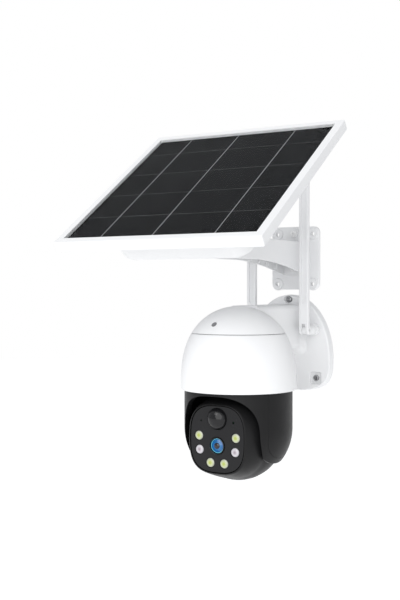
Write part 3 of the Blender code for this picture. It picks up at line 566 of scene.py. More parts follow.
WHITE_LAMP = (
    (0.00, (0.40, 0.45, 0.10)), (0.20, (0.34, 0.40, 0.08)), (0.34, (0.42, 0.46, 0.18)),
    (0.52, (0.46, 0.50, 0.28)), (0.74, (0.42, 0.45, 0.30)), (0.92, (0.34, 0.35, 0.30)), (1.00,
        (0.20, 0.20, 0.19)),
)
INFRARED_LAMP = (
    (0.00, (0.26, 0.21, 0.25)), (0.22, (0.32, 0.28, 0.31)), (0.40, (0.44, 0.41, 0.44)),
    (0.60, (0.52, 0.50, 0.53)), (0.80, (0.46, 0.45, 0.48)), (0.94, (0.30, 0.29, 0.31)), (1.00,
        (0.15, 0.15, 0.16)),
)
# The lens's blue and cyan rings are painted coating reflections, not lit ones.
LOOKS["lens_glass"] = ringed("lens_glass", (0.0, TILT_Z + LENS_V), 7.2, LENS_RINGS_AND_PAINTED_REFLECTIONS, (0.06, 0.10), 0.6, 0.4)
LAMP_LOOKS = [
    ringed(
        f"lamp_{i + 1}", (x, TILT_Z + v), LED_RADIUS,
        INFRARED_LAMP if i in (2, 3) else WHITE_LAMP, (0.16, 0.22), 0.5,
    )
    for i, (x, v) in enumerate(LED_PLACES)
]
LOOKS["white_led"] = LAMP_LOOKS[0]
LOOKS["infrared_led"] = LAMP_LOOKS[2]
LIGHT_SCREW = moulded("light_screw", (0.84, 0.84, 0.84), (0.88, 0.88, 0.88), (0.30, 0.42), 0.2, 0.3)
RIBBON = brushed("cell_ribbon", (0.42, 0.42, 0.43), (0.56, 0.56, 0.57), (0.35, 0.5))
GAP_STRIP = moulded("cell_gap", (0.075, 0.075, 0.078), (0.095, 0.095, 0.098), (0.4, 0.5), 0.05)

for node_name, node in frame["nodes"].items():
    for index in range(max(1, len(node.material_slots))):
        if node.material_slots:
            node.material_slots[index].material = LOOKS[MATERIAL_SLOT[node_name]]
        else:
            node.data.materials.append(LOOKS[MATERIAL_SLOT[node_name]])


# ---------------------------------------------------------------- camera wall plate, neck and dome

def plate_ring(inset, y, count=144):
    upper = superellipse(PLATE_HALF_WIDTH - inset, PLATE_TOP - PLATE_WIDEST_Z - inset, 2.0, count)
    lower = superellipse(PLATE_HALF_WIDTH - inset, PLATE_WIDEST_Z - PLATE_BOTTOM - inset, 3.3, count)
    half = count // 2 + 1
    outline = upper[:half] + lower[half:]
    return [Vector((x, y, PLATE_WIDEST_Z + z)) for x, z in outline]


def neck_ring(y, spread):
    low = (-NECK_HALF_WIDTH - spread, NECK_BOTTOM - 1.5 * spread)
    high = (NECK_HALF_WIDTH + spread, NECK_TOP + 0.15 * spread)
    return [Vector((x, y, z)) for x, z in rounded_rectangle(low, high, 5.5, 10)]


def screw_pocket(x, z, turn, half):
    rings = []
    for y, grow in ((-PLATE_DEPTH - 8.0, 0.6), (-PLATE_DEPTH - 0.02, 0.6), (-PLATE_DEPTH + 0.5, 0.0),
            (-PLATE_DEPTH + 3.0, 0.0)):
        ring = []
        for a, b in rounded_rectangle((-half - grow, -half - grow), (half + grow, half + grow),
                2.2 + grow, 7):
            across = x + a * math.cos(turn) - b * math.sin(turn)
            along = z + a * math.sin(turn) + b * math.cos(turn)
            ring.append(Vector((across, y, along)))
        rings.append(ring)
    return loft(rings)


def cap_screw_shape(slack, lift):
    """A short screw square to the cap's surface; slack makes it the hole, lift is its head's height."""
    radius = dome_radius(CAP_SCREW_Z)
    slope = (dome_radius(CAP_SCREW_Z - 1.0) - dome_radius(CAP_SCREW_Z + 1.0)) / 2.0
    shaft = 1.1 + slack
    head = 2.5 + slack
    profile = ((shaft, -6.0 - slack), (shaft, -1.0 - slack), (head, -1.0 - slack), (head, lift))
    item = turned(profile, "Z", (0, 0, 0), 40)
    lean = Matrix.Rotation(math.atan2(1.0, slope), 4, "X")
    turn = Matrix.Rotation(CAP_SCREW_TURN, 4, "Z")
    centre = Matrix.Translation(Vector((0.0, HEAD_Y, CAP_SCREW_Z)) * MM)
    item.matrix_world = centre @ turn @ Matrix.Translation(Vector((0, -radius, 0)) * MM) @ lean
    return settle(item)


def make_bracket():
    edge = PLATE_EDGE + 0.6
    rings = [plate_ring(0.0, 0.0), plate_ring(0.5, -PLATE_DEPTH + edge)]
    for i in range(1, 7):
        angle = 0.5 * math.pi * i / 6.0
        inset = 0.5 + (edge - 0.5) * (1.0 - math.cos(angle))
        rings.append(plate_ring(inset, -PLATE_DEPTH + edge * (1.0 - math.sin(angle))))
    bracket = loft(rings)
    necks = [(-9.0, 6.5), (-10.0, 5.2), (-11.2, 3.9), (-12.8, 2.6), (-14.6, 1.5), (-16.6, 0.6),
        (-19.0, 0.0), (HEAD_Y + 12.0, 0.0)]
    cap = turned(dome_profile(SEAM_Z + 0.25, DOME_TOP, 0.0, 30), "Z", HEAD, 128)
    join(bracket, loft([neck_ring(y, spread) for y, spread in necks]), cap)
    below = [(dome_radius(-60.0) + GAP, -60.0)]
    below += [(dome_radius(RIM_Z + i * (SEAM_Z + 0.25 - RIM_Z) / 12.0) + GAP,
        RIM_Z + i * (SEAM_Z + 0.25 - RIM_Z) / 12.0) for i in range(13)]
    hollow = [(dome_radius(z) - DOME_WALL, z) for z in (SEAM_Z - 3.0, 22.0, 30.0)] + [(18.0, 38.0)]
    tools = [turned(below, "Z", HEAD, 128), turned(hollow, "Z", HEAD, 48)]
    tools.append(block((-13.0, -58.0, 7.0), (13.0, 2.0, 38.0)))
    tools.append(block((-12.0, HEAD_Y + 14.0, 18.5), (12.0, -57.0, 36.0)))
    for name, (x, z) in WALL_SCREWS.items():
        turn, half = (math.radians(45.0), 4.4) if name == "top" else (0.0, 6.6)
        tools.append(screw_pocket(x, z, turn, half))
        tools.append(rod(2.4, -12.0, 2.0, "Y", (x, 0, z), 32))
    for side in (-1.0, 1.0):
        tools.append(rod(4.3, -15.0, -3.0, "Y", (side * ANTENNA_X, 0.0, HINGE_Z)))
    tools.append(cap_screw_shape(0.4, 3.0))
    tools.append(rod(4.4, -30.0, 12.0, "Z", (0, -40.0, 0)))
    cut(bracket, *tools)
    piece(bracket, "wall_bracket_shell", "wall_mount", ["wall_bracket"])


def make_shroud():
    top = SEAM_Z - 0.25
    start = SHROUD_HEIGHTS[0]
    heights = [start + (top - 0.5 - start) * i / 22.0 for i in range(23)]
    outer = [(dome_radius(z), z) for z in heights]
    outer += [(dome_radius(top) - 0.12, top - 0.15), (dome_radius(top) - 0.4, top)]
    inner = [(radius - DOME_WALL, z) for radius, z in reversed(outer[2:-2:3])]
    lip = [(RIM_RADIUS - 1.3, RIM_BOTTOM), (RIM_RADIUS - 0.6, RIM_BOTTOM + 0.1),
        (RIM_RADIUS - 0.15, RIM_BOTTOM + 0.45), (RIM_RADIUS, RIM_BOTTOM + 1.1)]
    profile = lip + outer + [(dome_radius(top) - DOME_WALL, top)] + inner
    profile += [(RIM_RADIUS - DOME_WALL, RIM_BOTTOM + 0.5), (RIM_RADIUS - DOME_WALL + 0.4, RIM_BOTTOM)]
    rings = closed_turning(profile, HEAD, 128)
    piece(rings, "shroud_shell", "wall_mount", ["lower_shroud"])


def closed_turning(profile, origin, steps, axis="Z"):
    """A ring turned from a closed profile."""
    rings = []
    for radius, height in profile:
        ring = []
        for i in range(steps):
            angle = 2.0 * math.pi * i / steps
            ring.append(place(axis, Vector(origin), radius * math.cos(angle), radius * math.sin(angle),
                height))
        rings.append(ring)
    return loft(rings, True)


# ---------------------------------------------------------------- screws

def cross_recess(reach_y, x, z, half, width, depth, turn):
    """Two crossed slots sunk into a screw's head along Y."""
    tools = []
    for quarter in (0.0, 90.0):
        angle = math.radians(turn + quarter)
        c, s = math.cos(angle), math.sin(angle)
        rings = []
        for y, shrink in ((reach_y - 1.0, 1.0), (reach_y, 1.0), (reach_y + depth, 0.45)):
            a, b = half * shrink, width * (0.6 + 0.4 * shrink)
            corners = ((-a, -b), (a, -b), (a, b), (-a, b))
            rings.append([Vector((x + p * c - q * s, y, z + p * s + q * c)) for p, q in corners])
        tools.append(loft(rings))
    return tools


def wall_facing_screw(name, x, z, shaft, back, seat, top, head, face, turn, node, look=None):
    """A pan-head screw lying along Y: shaft, seat, domed head and a cross recess."""
    profile = [(shaft, back), (shaft, seat), (head, seat), (head, seat + 0.35 * (top - seat))]
    for i in range(1, 6):
        angle = 0.5 * math.pi * i / 5.0
        radius = face + (head - face) * math.cos(angle)
        profile.append((radius, seat + (top - seat) * (0.35 + 0.65 * math.sin(angle))))
    profile.append((0.2, top))
    screw = turned(profile, "Y", (x, 0, z), 40)
    cut(screw, *cross_recess(top, x, z, 0.62 * head, 0.16 * head, 1.1, turn))
    piece(screw, name, "wall_mount", [node], look, smooth=40.0)


def make_screws():
    for turn, (name, (x, z)) in zip((20.0, 65.0, 40.0), WALL_SCREWS.items()):
        label = f"wall_screw_{name}"
        wall_facing_screw(f"{label}_head", x, z, 1.9, -0.5, -7.4, -9.2, 3.4, 1.8, turn, label)
    for turn, (name, z) in zip((10.0, 55.0), ARM_HOLES.items()):
        label = f"arm_screw_{name}"
        wall_facing_screw(f"{label}_head", SOLAR_X, z, 1.8, -0.6, -8.8, -10.7, 3.8, 1.7, turn, label,
            LIGHT_SCREW)


# ---------------------------------------------------------------- antennas

def make_antenna(side, name):
    x = side * ANTENNA_X
    axis = (x, 0.0, HINGE_Z)
    nut_profile = [(4.3, -10.3), (6.1, -10.3), (6.5, -10.7), (6.5, -15.2), (6.3, -15.8), (5.9, -16.2),
        (4.3, -16.2)]
    nut = closed_turning(nut_profile, axis, 72, "Y")
    tools = []
    for i in range(12):
        angle = 2.0 * math.pi * i / 12.0
        centre = (x + 6.9 * math.cos(angle), 0.0, HINGE_Z + 6.9 * math.sin(angle))
        tools.append(rod(0.75, -18.0, -11.4, "Y", centre, 14))
    cut(nut, *tools)
    piece(nut, f"antenna_nut_{name}_ring", "wall_mount", [f"antenna_nut_{name}"])
    base = turned(
        ((3.6, -4.0), (3.9, -4.3), (3.9, -16.5), (5.3, -16.5), (5.6, -16.8), (5.6, -21.2), (5.45, -21.8),
            (4.5, -24.8), (4.4, -25.4), (4.4, -28.0)),
        "Y", axis, 56,
    )
    tongue = [(-26.0, -4.0), (HINGE_Y, -4.0)] + arc((HINGE_Y, 0.0), 4.0, 255.0, 105.0,
        19) + [(HINGE_Y, 4.0), (-26.0, 4.0)]
    join(base, prism(tongue, -1.8, 1.8, "X", axis))
    cut(base, rod(1.5, -4.0, 4.0, "X", (x, HINGE_Y, HINGE_Z), 32))
    piece(base, f"antenna_base_{name}_stem", f"antenna_base_{name}", [f"antenna_base_{name}"])
    make_paddle(x, name)
    pin = turned(((0.9, -4.5), (1.15, -4.25), (1.15, 4.25), (0.9, 4.5)), "X", (x, HINGE_Y, HINGE_Z), 28)
    piece(pin, f"antenna_pin_{name}_rod", f"antenna_{name}", [f"antenna_pin_{name}"])


def make_paddle(x, name):
    front = HINGE_Y - BARREL_RADIUS
    back = front + PADDLE_THICKNESS
    top = PADDLE_TOP - HINGE_Z
    outline = arc((HINGE_Y, 0.0), BARREL_RADIUS, 180.0, 430.0, 31)
    outline += [(back + 0.35, 5.0), (back, 6.2), (back, top - 1.2)]
    outline += [(back - 0.35, top - 0.35), (back - 1.2, top), (front + 1.2, top),
        (front + 0.35, top - 0.35), (front, top - 1.2)]
    half = PADDLE_WIDTH / 2.0
    paddle = prism(outline, -half, half, "X", (x, 0, HINGE_Z))
    rounded(paddle, 0.9, 4, 55.0)
    slot = rounded_rectangle((-2.5, 28.5), (2.5, top - 9.0), 2.4, 10)
    groove = prism(slot, front - 2.0, front + 1.0, "Y", (x, 0, HINGE_Z))
    fork = block((x - 2.2, HINGE_Y - 12.0, HINGE_Z - 12.0), (x + 2.2, HINGE_Y + 12.0, HINGE_Z + 7.0))
    cut(paddle, groove, fork, rod(1.5, -9.0, 9.0, "X", (x, HINGE_Y, HINGE_Z), 32))
    piece(paddle, f"antenna_paddle_{name}_blade", f"antenna_{name}", [f"antenna_paddle_{name}"])


# ---------------------------------------------------------------- panning housing

def fine_yoke_profile(radius, top, count=24):
    profile = [(radius - 1.5, top), (radius - 0.45, top - 0.45), (radius, top - 1.5)]
    for i in range(count):
        angle = math.radians(77.0 * i / (count - 1))
        profile.append((radius * math.cos(angle), YOKE_ROUND_Z - radius * math.sin(angle)))
    return profile


def fine_lobe(half_depth, drop, top, count=41):
    outline = [(HEAD_Y + half_depth, top), (HEAD_Y - half_depth, top)]
    for i in range(count):
        angle = math.pi * (1.0 + i / (count - 1))
        outline.append((HEAD_Y + half_depth * math.cos(angle), TILT_Z + drop * math.sin(angle)))
    return outline


def cover_skin(inner, outer, shrink, side):
    top = COVER_TOP - shrink
    outside = [(outer, top)] + fine_yoke_profile(outer, top)[3:]
    inside = list(reversed(fine_yoke_profile(inner, top)[3:])) + [(inner, top)]
    item = closed_turning(outside + inside, HEAD, 128)
    outline = fine_lobe(COVER_HALF_DEPTH - shrink, COVER_DROP - shrink, RIM_BOTTOM + 6.0)
    low, high = (20.0, 70.0) if side > 0 else (-70.0, -20.0)
    return keep(item, prism(outline, low, high, "X"))


def make_yoke():
    housing = turned(fine_yoke_profile(YOKE_RADIUS, YOKE_TOP), "Z", HEAD, 128)
    inner = YOKE_RADIUS - YOKE_WALL
    cavity = [(inner, YOKE_TOP - 3.0)]
    for i in range(24):
        angle = math.radians(84.0 * i / 23.0)
        cavity.append((inner * math.cos(angle), TILT_Z - inner * math.sin(angle)))
    arch = superellipse(ARCH_HALF_WIDTH, ARCH_HEIGHT, ARCH_POWER, 96, (0.0, TILT_Z))
    foot = [p for p in fine_lobe(LOBE_HALF_DEPTH, LOBE_DROP, TILT_Z)[2:] if p[1] < TILT_Z - 1.0]
    below = [(HEAD_Y - 75.0, TILT_Z - 1.3), (HEAD_Y - LOBE_HALF_DEPTH, TILT_Z - 1.3)] + foot
    below += [(HEAD_Y + 75.0, TILT_Z - BACK_WALL_DROP), (HEAD_Y + 75.0, TILT_Z - 70.0),
        (HEAD_Y - 75.0, TILT_Z - 70.0)]
    swing = ((25.2, -BALL_FLAT), (35.5, -SWING_HALF), (35.5, SWING_HALF), (25.2, BALL_FLAT))
    cut(
        housing,
        turned(cavity, "Z", HEAD, 96),
        prism(arch, HEAD_Y - 75.0, HEAD_Y - 18.0, "Y"),
        turned(swing, "X", EYE, 72),
        prism(below, -75.0, 75.0, "X"),
    )
    rounded(housing, 1.1, 3, 52.0)
    skin_inner = YOKE_RADIUS - COVER_THICKNESS - GAP
    cut(
        housing,
        cover_skin(skin_inner, YOKE_RADIUS + 4.0, 0.0, -1.0),
        cover_skin(skin_inner, YOKE_RADIUS + 4.0, 0.0, 1.0),
    )
    join(housing, turned(((10.0, YOKE_TOP - 1.0), (10.0, -17.5)), "Z", HEAD, 48))
    cut(housing, rod(6.0, -45.0, -10.0, "Z", HEAD), rod(4.2, -60.0, -40.0, "X", EYE))
    piece(housing, "pan_housing_shell", "pan_head", ["yoke_housing"])
    for side, name in ((-1.0, "left"), (1.0, "right")):
        cover = cover_skin(YOKE_RADIUS - COVER_THICKNESS, YOKE_RADIUS, GAP, side)
        piece(rounded(cover, 0.3, 2, 50.0), f"cheek_cover_{name}", "pan_head", [f"side_cover_{name}"])


# ---------------------------------------------------------------- eyeball and face

def ball_ring(reach, inset, shift=0.0, count=128):
    width, height, power = ball_half_sizes(reach, inset)
    flat = BALL_FLAT - inset
    y = HEAD_Y - reach - shift
    return [Vector((max(-flat, min(flat, x)), y, TILT_Z + v)) for x,
        v in superellipse(width, height, power, count)]


def make_ball():
    reaches = [-45.7, -45.2, -44.2, -42.5, -40.0, -37.0, -33.0, -29.0, -24.0, -19.0, -13.0, -7.0, 0.0,
        7.0, 12.0, 16.0]
    reaches += [19.0, 22.0, 25.0, 28.0, 31.0, 34.0, 37.0, 40.0, 42.3]
    rings = [ball_ring(r, 0.0) for r in reaches]
    for back, inset in ((1.1, 0.08), (0.55, 0.3), (0.18, 0.65), (0.0, 1.1), (0.12, 1.6), (0.45, 2.0)):
        rings.append(ball_ring(FACE_REACH - back, inset))
    inner = [-43.4, -38.0, -28.0, -14.0, 2.0, 16.0, 30.0]
    rings += [ball_ring(r, BALL_WALL) for r in reversed(inner)]
    shell = loft(rings)
    behind = (0.0, HEAD_Y + TILT_MODULE * (TILT_TEETH + TILT_PINION_TEETH) / 2.0 + GEAR_SPREAD, TILT_Z)
    cut(shell, rod(4.1, -50.0, 50.0, "X", EYE), rod(1.9, 30.0, 50.0, "X", behind, 24))
    piece(shell, "eyeball_shell", "eyeball", ["ball_shell"])


def facing_rod(radius, low, high, spot, steps=48):
    return rod(radius, -high, -low, "Y", (spot[0], HEAD_Y, TILT_Z + spot[1]), steps)


def facing_turned(profile, spot, steps=64, name="tool"):
    return turned([(r, -reach) for r, reach in profile], "Y", (spot[0], HEAD_Y, TILT_Z + spot[1]), steps,
        name)


def make_face():
    outline = superellipse(FACE_HALF_WIDTH - 1.75, FACE_HALF_HEIGHT - 1.75, FACE_POWER, 144)
    plate = prism(outline, -43.4, -41.4, "Y", EYE)
    tools = [facing_rod(LENS_RADIUS + 0.3, 30.0, 50.0, (0.0, LENS_V), 64)]
    tools.append(facing_rod(PIR_RADIUS + 0.3, 30.0, 50.0, (0.0, PIR_V), 64))
    tools += [facing_rod(LED_RADIUS + 0.4, 30.0, 50.0, spot) for spot in LED_PLACES]
    tools += [facing_rod(0.8, 30.0, 50.0, MIC_PLACE, 24), facing_rod(1.1, 30.0, 50.0, SENSOR_PLACE, 24)]
    cut(plate, *tools)
    rounded(plate, 0.3, 2, 50.0)
    piece(plate, "face_panel", "eyeball", ["face_plate"])
    for i, spot in enumerate(LED_PLACES):
        profile = [(LED_RADIUS, 39.3), (LED_RADIUS, 42.6)]
        for k in range(1, 8):
            angle = 0.5 * math.pi * k / 8.0
            profile.append((LED_RADIUS * math.cos(angle), 42.6 + 1.3 * math.sin(angle)))
        lamp = facing_turned(profile, spot, 48)
        piece(lamp, f"lamp_dome_{i + 1}", "eyeball", [f"led_{i + 1}"], LAMP_LOOKS[i])


def make_optics():
    spot = (0.0, LENS_V)
    barrel = (
        (LENS_RADIUS - 1.0, 22.0), (LENS_RADIUS, 23.0), (LENS_RADIUS, 44.0), (LENS_RADIUS - 0.15, 44.45),
        (LENS_RADIUS - 0.4, 44.7), (LENS_RADIUS - 0.7, 44.8), (LENS_RADIUS - 0.9,
            44.7), (LENS_RADIUS - 0.95, 43.4),
        (LENS_RADIUS - 1.0, 39.0), (1.5, 39.0),
    )
    piece(facing_turned(barrel, spot, 96), "lens_barrel_ring", "eyeball", ["lens_barrel"])
    steps = [(7.1, 39.4), (7.1, 42.4), (6.8, 42.6)]
    for outer, inner, level in ((6.6, 5.9, 42.5), (5.7, 5.0, 42.9), (4.9, 4.0, 42.8), (3.8, 3.1, 43.3)):
        steps += [(outer, level), (inner, level + 0.25)]
    steps += [(2.4, 43.5), (1.8, 43.85), (1.2, 44.05), (0.5, 44.17), (0.1, 44.2)]
    piece(facing_turned(steps, spot, 96), "lens_front", "eyeball", ["lens_glass"], smooth=50.0)
    dome = [(PIR_RADIUS, 39.4), (PIR_RADIUS, 43.0)]
    for i in range(1, 19):
        angle = math.radians(88.0 * i / 18.0)
        dome.append((PIR_RADIUS * math.cos(angle), 43.0 + 6.95 * math.sin(angle)))
    piece(facing_turned(dome, (0.0, PIR_V), 96), "motion_dome", "eyeball", ["pir_dome"])


# ---------------------------------------------------------------- solar bracket

def make_solar_plate():
    half_w = SOLAR_PLATE_WIDTH / 2.0
    half_h = SOLAR_PLATE_HEIGHT / 2.0
    outline = rounded_rectangle((-half_w, -half_h), (half_w, half_h), 7.0, 14)
    origin = (SOLAR_X, 0.0, SOLAR_PLATE_Z)
    plate = prism(outline, -SOLAR_PLATE_DEPTH, 0.0, "Y", origin)
    rounded(plate, 0.7, 3)
    places = [(SOLAR_X + a * SOLAR_HOLES[0] / 2.0, SOLAR_HOLES_Z + b * SOLAR_HOLES[1] / 2.0)
        for a in (-1, 1) for b in (1, -1)]
    lobes = []
    for x, z in places:
        profile = ((7.1, -SOLAR_PLATE_DEPTH + 0.6), (6.5, -SOLAR_PLATE_DEPTH - 0.2), (6.25, -5.2),
            (6.0, -5.75), (5.6, -SOLAR_LOBE_DEPTH))
        lobes.append(turned(profile, "Y", (x, 0, z), 56))
    join(plate, *lobes)
    holes = [rod(2.3, -12.0, 2.0, "Y", (x, 0, z), 32) for x, z in places]
    holes += [rod(2.2, -12.0, 2.0, "Y", (SOLAR_X, 0, z), 32) for z in ARM_HOLES.values()]
    cut(plate, *holes)
    piece(plate, "panel_plate_shell", "wall_mount", ["panel_wall_plate"])


def make_arm():
    back = -SOLAR_PLATE_DEPTH - GAP
    end = arc((PIVOT.y, PIVOT.z), ARM_TOP - PIVOT.z, 270.0, 90.0, 31)
    side = [(back, ARM_UNDERSIDE[0][1])] + list(ARM_UNDERSIDE) + end + [(back, ARM_TOP)]
    arm = prism(side, -ARM_HALF_WIDTH, ARM_HALF_WIDTH, "X", (SOLAR_X, 0, 0))
    inner = ARM_HALF_WIDTH - ARM_WALL
    low = (SOLAR_X - inner, -205.0, 60.0)
    rounded(arm, 0.9, 4, 50.0)
    cut(
        arm,
        block(low, (SOLAR_X + inner, back - 4.2, ARM_TOP - ARM_WALL)),
        block(low, (SOLAR_X + inner, -170.0, ARM_TOP + 5.0)),
    )
    ear = arc((0.0, ARM_HOLES["top"]), 6.0, 0.0, 180.0, 25) + [(-6.0, ARM_TOP - 1.0), (6.0, ARM_TOP - 1.0)]
    parts = [rounded(prism(ear, back - 4.0, back, "Y", (SOLAR_X, 0, 0)), 0.4, 2)]
    for i in range(RIB_COUNT):
        y = RIB_FIRST_Y - RIB_PITCH * i
        foot = arm_underside(y) + 1.2
        for sign in (-1.0, 1.0):
            a = SOLAR_X + sign * (inner - 3.0)
            b = SOLAR_X + sign * (inner + 0.8)
            parts.append(block((min(a, b), y - 0.8, foot), (max(a, b), y + 0.8, ARM_TOP - 1.0)))
    join(arm, *parts)
    holes = [rod(2.2, -14.0, 2.0, "Y", (SOLAR_X, 0, z), 32) for z in ARM_HOLES.values()]
    cut(arm, rod(3.3, -20.0, 20.0, "X", PIVOT, 40), *holes)
    piece(arm, "panel_arm_channel", "wall_mount", ["panel_arm"])
    outer = ARM_HALF_WIDTH + GAP
    head = [(3.0, 17.0), (3.0, -outer), (5.4, -outer), (5.5, -outer - 0.2), (5.5, -outer - 2.6),
        (5.2, -outer - 3.3), (4.6, -outer - 3.8)]
    bolt = turned(head, "X", PIVOT, 56)
    hexagon = [(3.1 * math.cos(math.radians(60.0 * i)), 3.1 * math.sin(math.radians(60.0 * i)))
        for i in range(6)]
    cut(bolt, prism(hexagon, -outer - 6.0, -outer - 1.6, "X", PIVOT))
    piece(bolt, "tilt_bolt_head", "wall_mount", ["tilt_bolt"])
    hexagon = [(5.8 * math.cos(math.radians(60.0 * i)), 5.8 * math.sin(math.radians(60.0 * i)))
        for i in range(6)]
    nut = prism(hexagon, outer, outer + 4.6, "X", PIVOT)
    chamfer = ((6.3, outer - 0.01), (6.3, outer + 3.6), (5.2, outer + 4.61))
    keep(nut, turned(chamfer, "X", PIVOT, 56))
    cut(nut, rod(3.3, 0.0, 30.0, "X", PIVOT, 40))
    piece(nut, "tilt_nut_hex", "wall_mount", ["tilt_nut"])


# ---------------------------------------------------------------- solar panel

COLUMN_LINES = (0.19, 0.47, 0.787)
ROW_LINES = (0.205, 0.415, 0.625, 0.845)


def on_panel(item):
    item.matrix_world = panel_matrix()
    return settle(item)


def panel_block(x0, x1, y0, y1, z0, z1):
    return block((x0, y0, z0), (x1, y1, z1))


def gathered(items):
    """Several meshes as one object."""
    first = items[0]
    work = bmesh.new()
    for item in items:
        work.from_mesh(item.data)
    work.to_mesh(first.data)
    work.free()
    for item in items[1:]:
        bpy.data.objects.remove(item, do_unlink=True)
    return first


def make_panel():
    body = prism(rounded_rectangle((-PANEL_HALF, -PANEL_HALF), (PANEL_HALF, PANEL_HALF), 1.6, 6),
        -PANEL_DEPTH, 0.0)
    rounded(body, 0.8, 4, 50.0)
    hollow = PANEL_HALF - 2.5
    cut(
        body,
        panel_block(-GLASS_HALF, GLASS_HALF, -GLASS_HALF, GLASS_HALF, -4.4, 5.0),
        panel_block(-hollow, hollow, -hollow, hollow, -20.0, -7.0),
    )
    piece(on_panel(body), "panel_frame_rim", "solar_panel", ["panel_frame"])
    half = GLASS_HALF - GAP
    glass = rounded(panel_block(-half, half, -half, half, -2.6, -0.5), 0.25, 2)
    piece(on_panel(glass), "panel_glass_pane", "solar_panel", ["panel_glass"])
    backing = panel_block(-half, half, -half, half, -4.1, -3.45)
    piece(on_panel(rounded(backing, 0.1, 1)), "cell_backing", "solar_panel", ["cell_sheet"])
    columns = [-half] + [-half + 2.0 * half * u for u in COLUMN_LINES] + [half]
    rows = [-half] + [-half + 2.0 * half * v for v in ROW_LINES] + [half]
    wafers = []
    for x0, x1 in zip(columns, columns[1:]):
        for y0, y1 in zip(rows, rows[1:]):
            low_gap = 0.0 if y0 == -half else 0.35
            high_gap = 0.0 if y1 == half else 0.35
            left_gap = 0.0 if x0 == -half else 0.45
            right_gap = 0.0 if x1 == half else 0.45
            wafers.append(panel_block(x0 + left_gap, x1 - right_gap, y0 + low_gap, y1 - high_gap, -3.5,
                -3.15))
    extra(on_panel(gathered(wafers)), "cell_wafers", "solar_panel", LOOKS["solar_cells"])
    ribbons = [panel_block(x - 0.45, x + 0.45, -half, half, -3.5, -3.12) for x in columns[1:-1]]
    extra(on_panel(gathered(ribbons)), "cell_ribbons", "solar_panel", RIBBON)
    strips = [panel_block(-half, half, y - 0.36, y + 0.36, -3.5, -3.22) for y in rows[1:-1]]
    extra(on_panel(gathered(strips)), "cell_gaps", "solar_panel", GAP_STRIP)


def tray_ring(inset, level):
    share = (level - TRAY_TOP) / (TRAY_BASE - TRAY_TOP)
    half_x = TRAY_TOP_HALF[0] + (TRAY_BASE_HALF[0] - TRAY_TOP_HALF[0]) * share - inset
    half_b = TRAY_TOP_HALF[1] + (TRAY_BASE_HALF[1] - TRAY_TOP_HALF[1]) * share - inset
    corner = TRAY_CORNER - inset
    return [Vector((x, b, level)) for x, b in rounded_rectangle((-half_x, -half_b), (half_x, half_b),
        corner, 16)]


def make_tray():
    wall = 2.4
    rings = [tray_ring(0.0, TRAY_TOP), tray_ring(0.0, TRAY_BASE + 4.0)]
    for i in range(1, 7):
        angle = 0.5 * math.pi * i / 6.0
        rings.append(tray_ring(2.5 * (1.0 - math.cos(angle)), TRAY_BASE + 4.0 * (1.0 - math.sin(angle))))
    tray = loft(rings)
    outlet_axis = (40.0, 0.0, -27.0)
    cut(
        tray,
        loft([tray_ring(wall, TRAY_TOP + 3.0), tray_ring(wall + 1.0, TRAY_BASE + wall)]),
        rod(4.8, 60.0, 90.0, "Y", outlet_axis),
    )
    piece(on_panel(tray), "battery_box", "solar_panel", ["battery_tray"])
    outlet = [(2.4, 68.0), (4.4, 68.0), (4.4, 79.6), (4.1, 80.0), (4.1, 80.8), (4.4, 81.2), (4.4, 85.4),
        (4.0, 86.0), (2.4, 86.0)]
    piece(on_panel(closed_turning(outlet, outlet_axis, 40, "Y")), "cable_outlet_bush", "solar_panel",
        ["cable_outlet"])


def make_tilt_bracket():
    foot = panel_matrix().inverted() @ (PIVOT * MM) / MM
    base = block((-20.0, foot.y - 16.0, TRAY_BASE - 3.3), (20.0, foot.y + 16.0, TRAY_BASE - GAP))
    rounded(base, 0.8, 3)
    tongue = arc((foot.y, foot.z), 9.0, 180.0, 360.0, 33)
    tongue += [(foot.y + 11.0, TRAY_BASE - 1.5), (foot.y - 11.0, TRAY_BASE - 1.5)]
    inner = ARM_HALF_WIDTH - ARM_WALL - GAP
    join(base, rounded(prism(tongue, -inner, inner, "X"), 0.5, 2, 50.0))
    cut(base, rod(3.3, -20.0, 20.0, "X", (0.0, foot.y, foot.z)))
    piece(on_panel(base), "tilt_bracket_tongue", "solar_panel", ["tilt_bracket"])


# ---------------------------------------------------------------- camera, lights and floor

ROOM_LIGHT = 0.57
FRONT_LIGHT = 1.7
FLOOR_GLOW = 0.35


def make_camera():
    lens = bpy.data.cameras.new("view_camera")
    lens.lens = 56.635
    lens.sensor_width = 36.0
    lens.clip_start = 0.01
    item = bpy.data.objects.new("view_camera", lens)
    bpy.context.scene.collection.objects.link(item)
    azimuth = math.radians(30.7)
    height = math.radians(0.63)
    back = Vector((math.sin(azimuth) * math.cos(height), -math.cos(azimuth) * math.cos(height),
        math.sin(height)))
    item.location = (0.45026, -0.95990, 0.05853)
    item.rotation_euler = (-back).to_track_quat("-Z", "Y").to_euler()
    bpy.context.scene.camera = item


def soft_light(name, location, aim, size, power, colour=(1.0, 1.0, 1.0)):
    lamp = bpy.data.lights.new(name, "AREA")
    lamp.size = size
    lamp.energy = power
    lamp.color = colour
    item = bpy.data.objects.new(name, lamp)
    item.location = location
    item.rotation_euler = (Vector(aim) - Vector(location)).to_track_quat("-Z", "Y").to_euler()
    bpy.context.scene.collection.objects.link(item)


def broad_light(name, toward, strength, spread):
    """Even light from one side of the room, soft-edged, the same on near and far pieces."""
    lamp = bpy.data.lights.new(name, "SUN")
    lamp.energy = strength
    lamp.angle = math.radians(spread)
    item = bpy.data.objects.new(name, lamp)
    item.rotation_euler = Vector(toward).to_track_quat("Z", "Y").to_euler()
    bpy.context.scene.collection.objects.link(item)


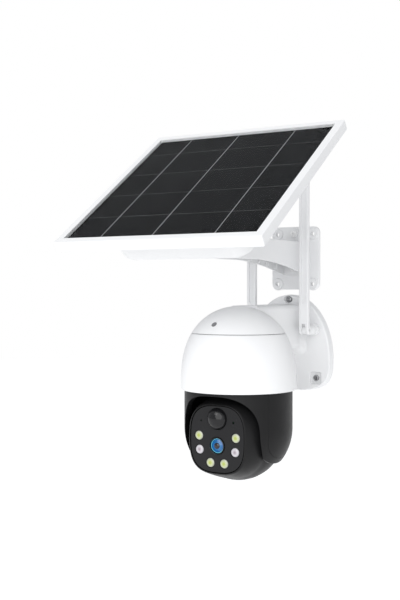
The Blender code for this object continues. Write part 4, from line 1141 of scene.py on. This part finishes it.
def make_studio():
    scene = bpy.context.scene
    scene.view_settings.view_transform = "Standard"
    world = bpy.data.worlds.new("studio")
    scene.world = world
    world.use_nodes = True
    tree = world.node_tree
    backdrop = tree.nodes["Background"]
    backdrop.inputs["Color"].default_value = (1.0, 1.0, 1.0, 1.0)
    backdrop.inputs["Strength"].default_value = 1.0
    room = tree.nodes.new("ShaderNodeBackground")
    room.inputs["Color"].default_value = (0.97, 0.98, 1.0, 1.0)
    room.inputs["Strength"].default_value = ROOM_LIGHT
    path = tree.nodes.new("ShaderNodeLightPath")
    mix = tree.nodes.new("ShaderNodeMixShader")
    tree.links.new(path.outputs["Is Camera Ray"], mix.inputs["Fac"])
    tree.links.new(room.outputs["Background"], mix.inputs[1])
    tree.links.new(backdrop.outputs["Background"], mix.inputs[2])
    tree.links.new(mix.outputs["Shader"], tree.nodes["World Output"].inputs["Surface"])
    broad_light("front_light", (0.35, -1.5, 0.55), FRONT_LIGHT, 60.0)
    soft_light("key_light", (-0.5, -1.7, 1.2), (0.0, -0.12, 0.0), 0.9, 6.0)
    soft_light("fill_light", (1.5, -1.3, 0.4), (0.0, -0.12, 0.0), 1.2, 3.0)


def make_floor():
    size = 6000.0
    floor = loft([
        [Vector((x, y, z)) for x, y in superellipse(size, size, 2.0, 64)] for z in (-452.0, -450.0)
    ], name="floor")
    made, tree, shader = graph("pale_floor")
    tree.links.new(ramp(tree, grain(tree, 3.0), ((0.3, (0.90, 0.90, 0.90)), (0.7, (0.92, 0.92, 0.92)))),
        shader.inputs["Base Color"])
    shader.inputs["Roughness"].default_value = 0.9
    shader.inputs["Emission Color"].default_value = (1.0, 1.0, 1.0, 1.0)
    shader.inputs["Emission Strength"].default_value = FLOOR_GLOW
    floor.data.materials.append(made)


make_bracket()
make_shroud()
make_screws()
for side_sign, side_name in ((-1.0, "left"), (1.0, "right")):
    make_antenna(side_sign, side_name)
make_yoke()
make_ball()
make_face()
make_optics()
make_solar_plate()
make_arm()
make_panel()
make_tray()
make_tilt_bracket()
make_camera()
make_studio()
make_floor()
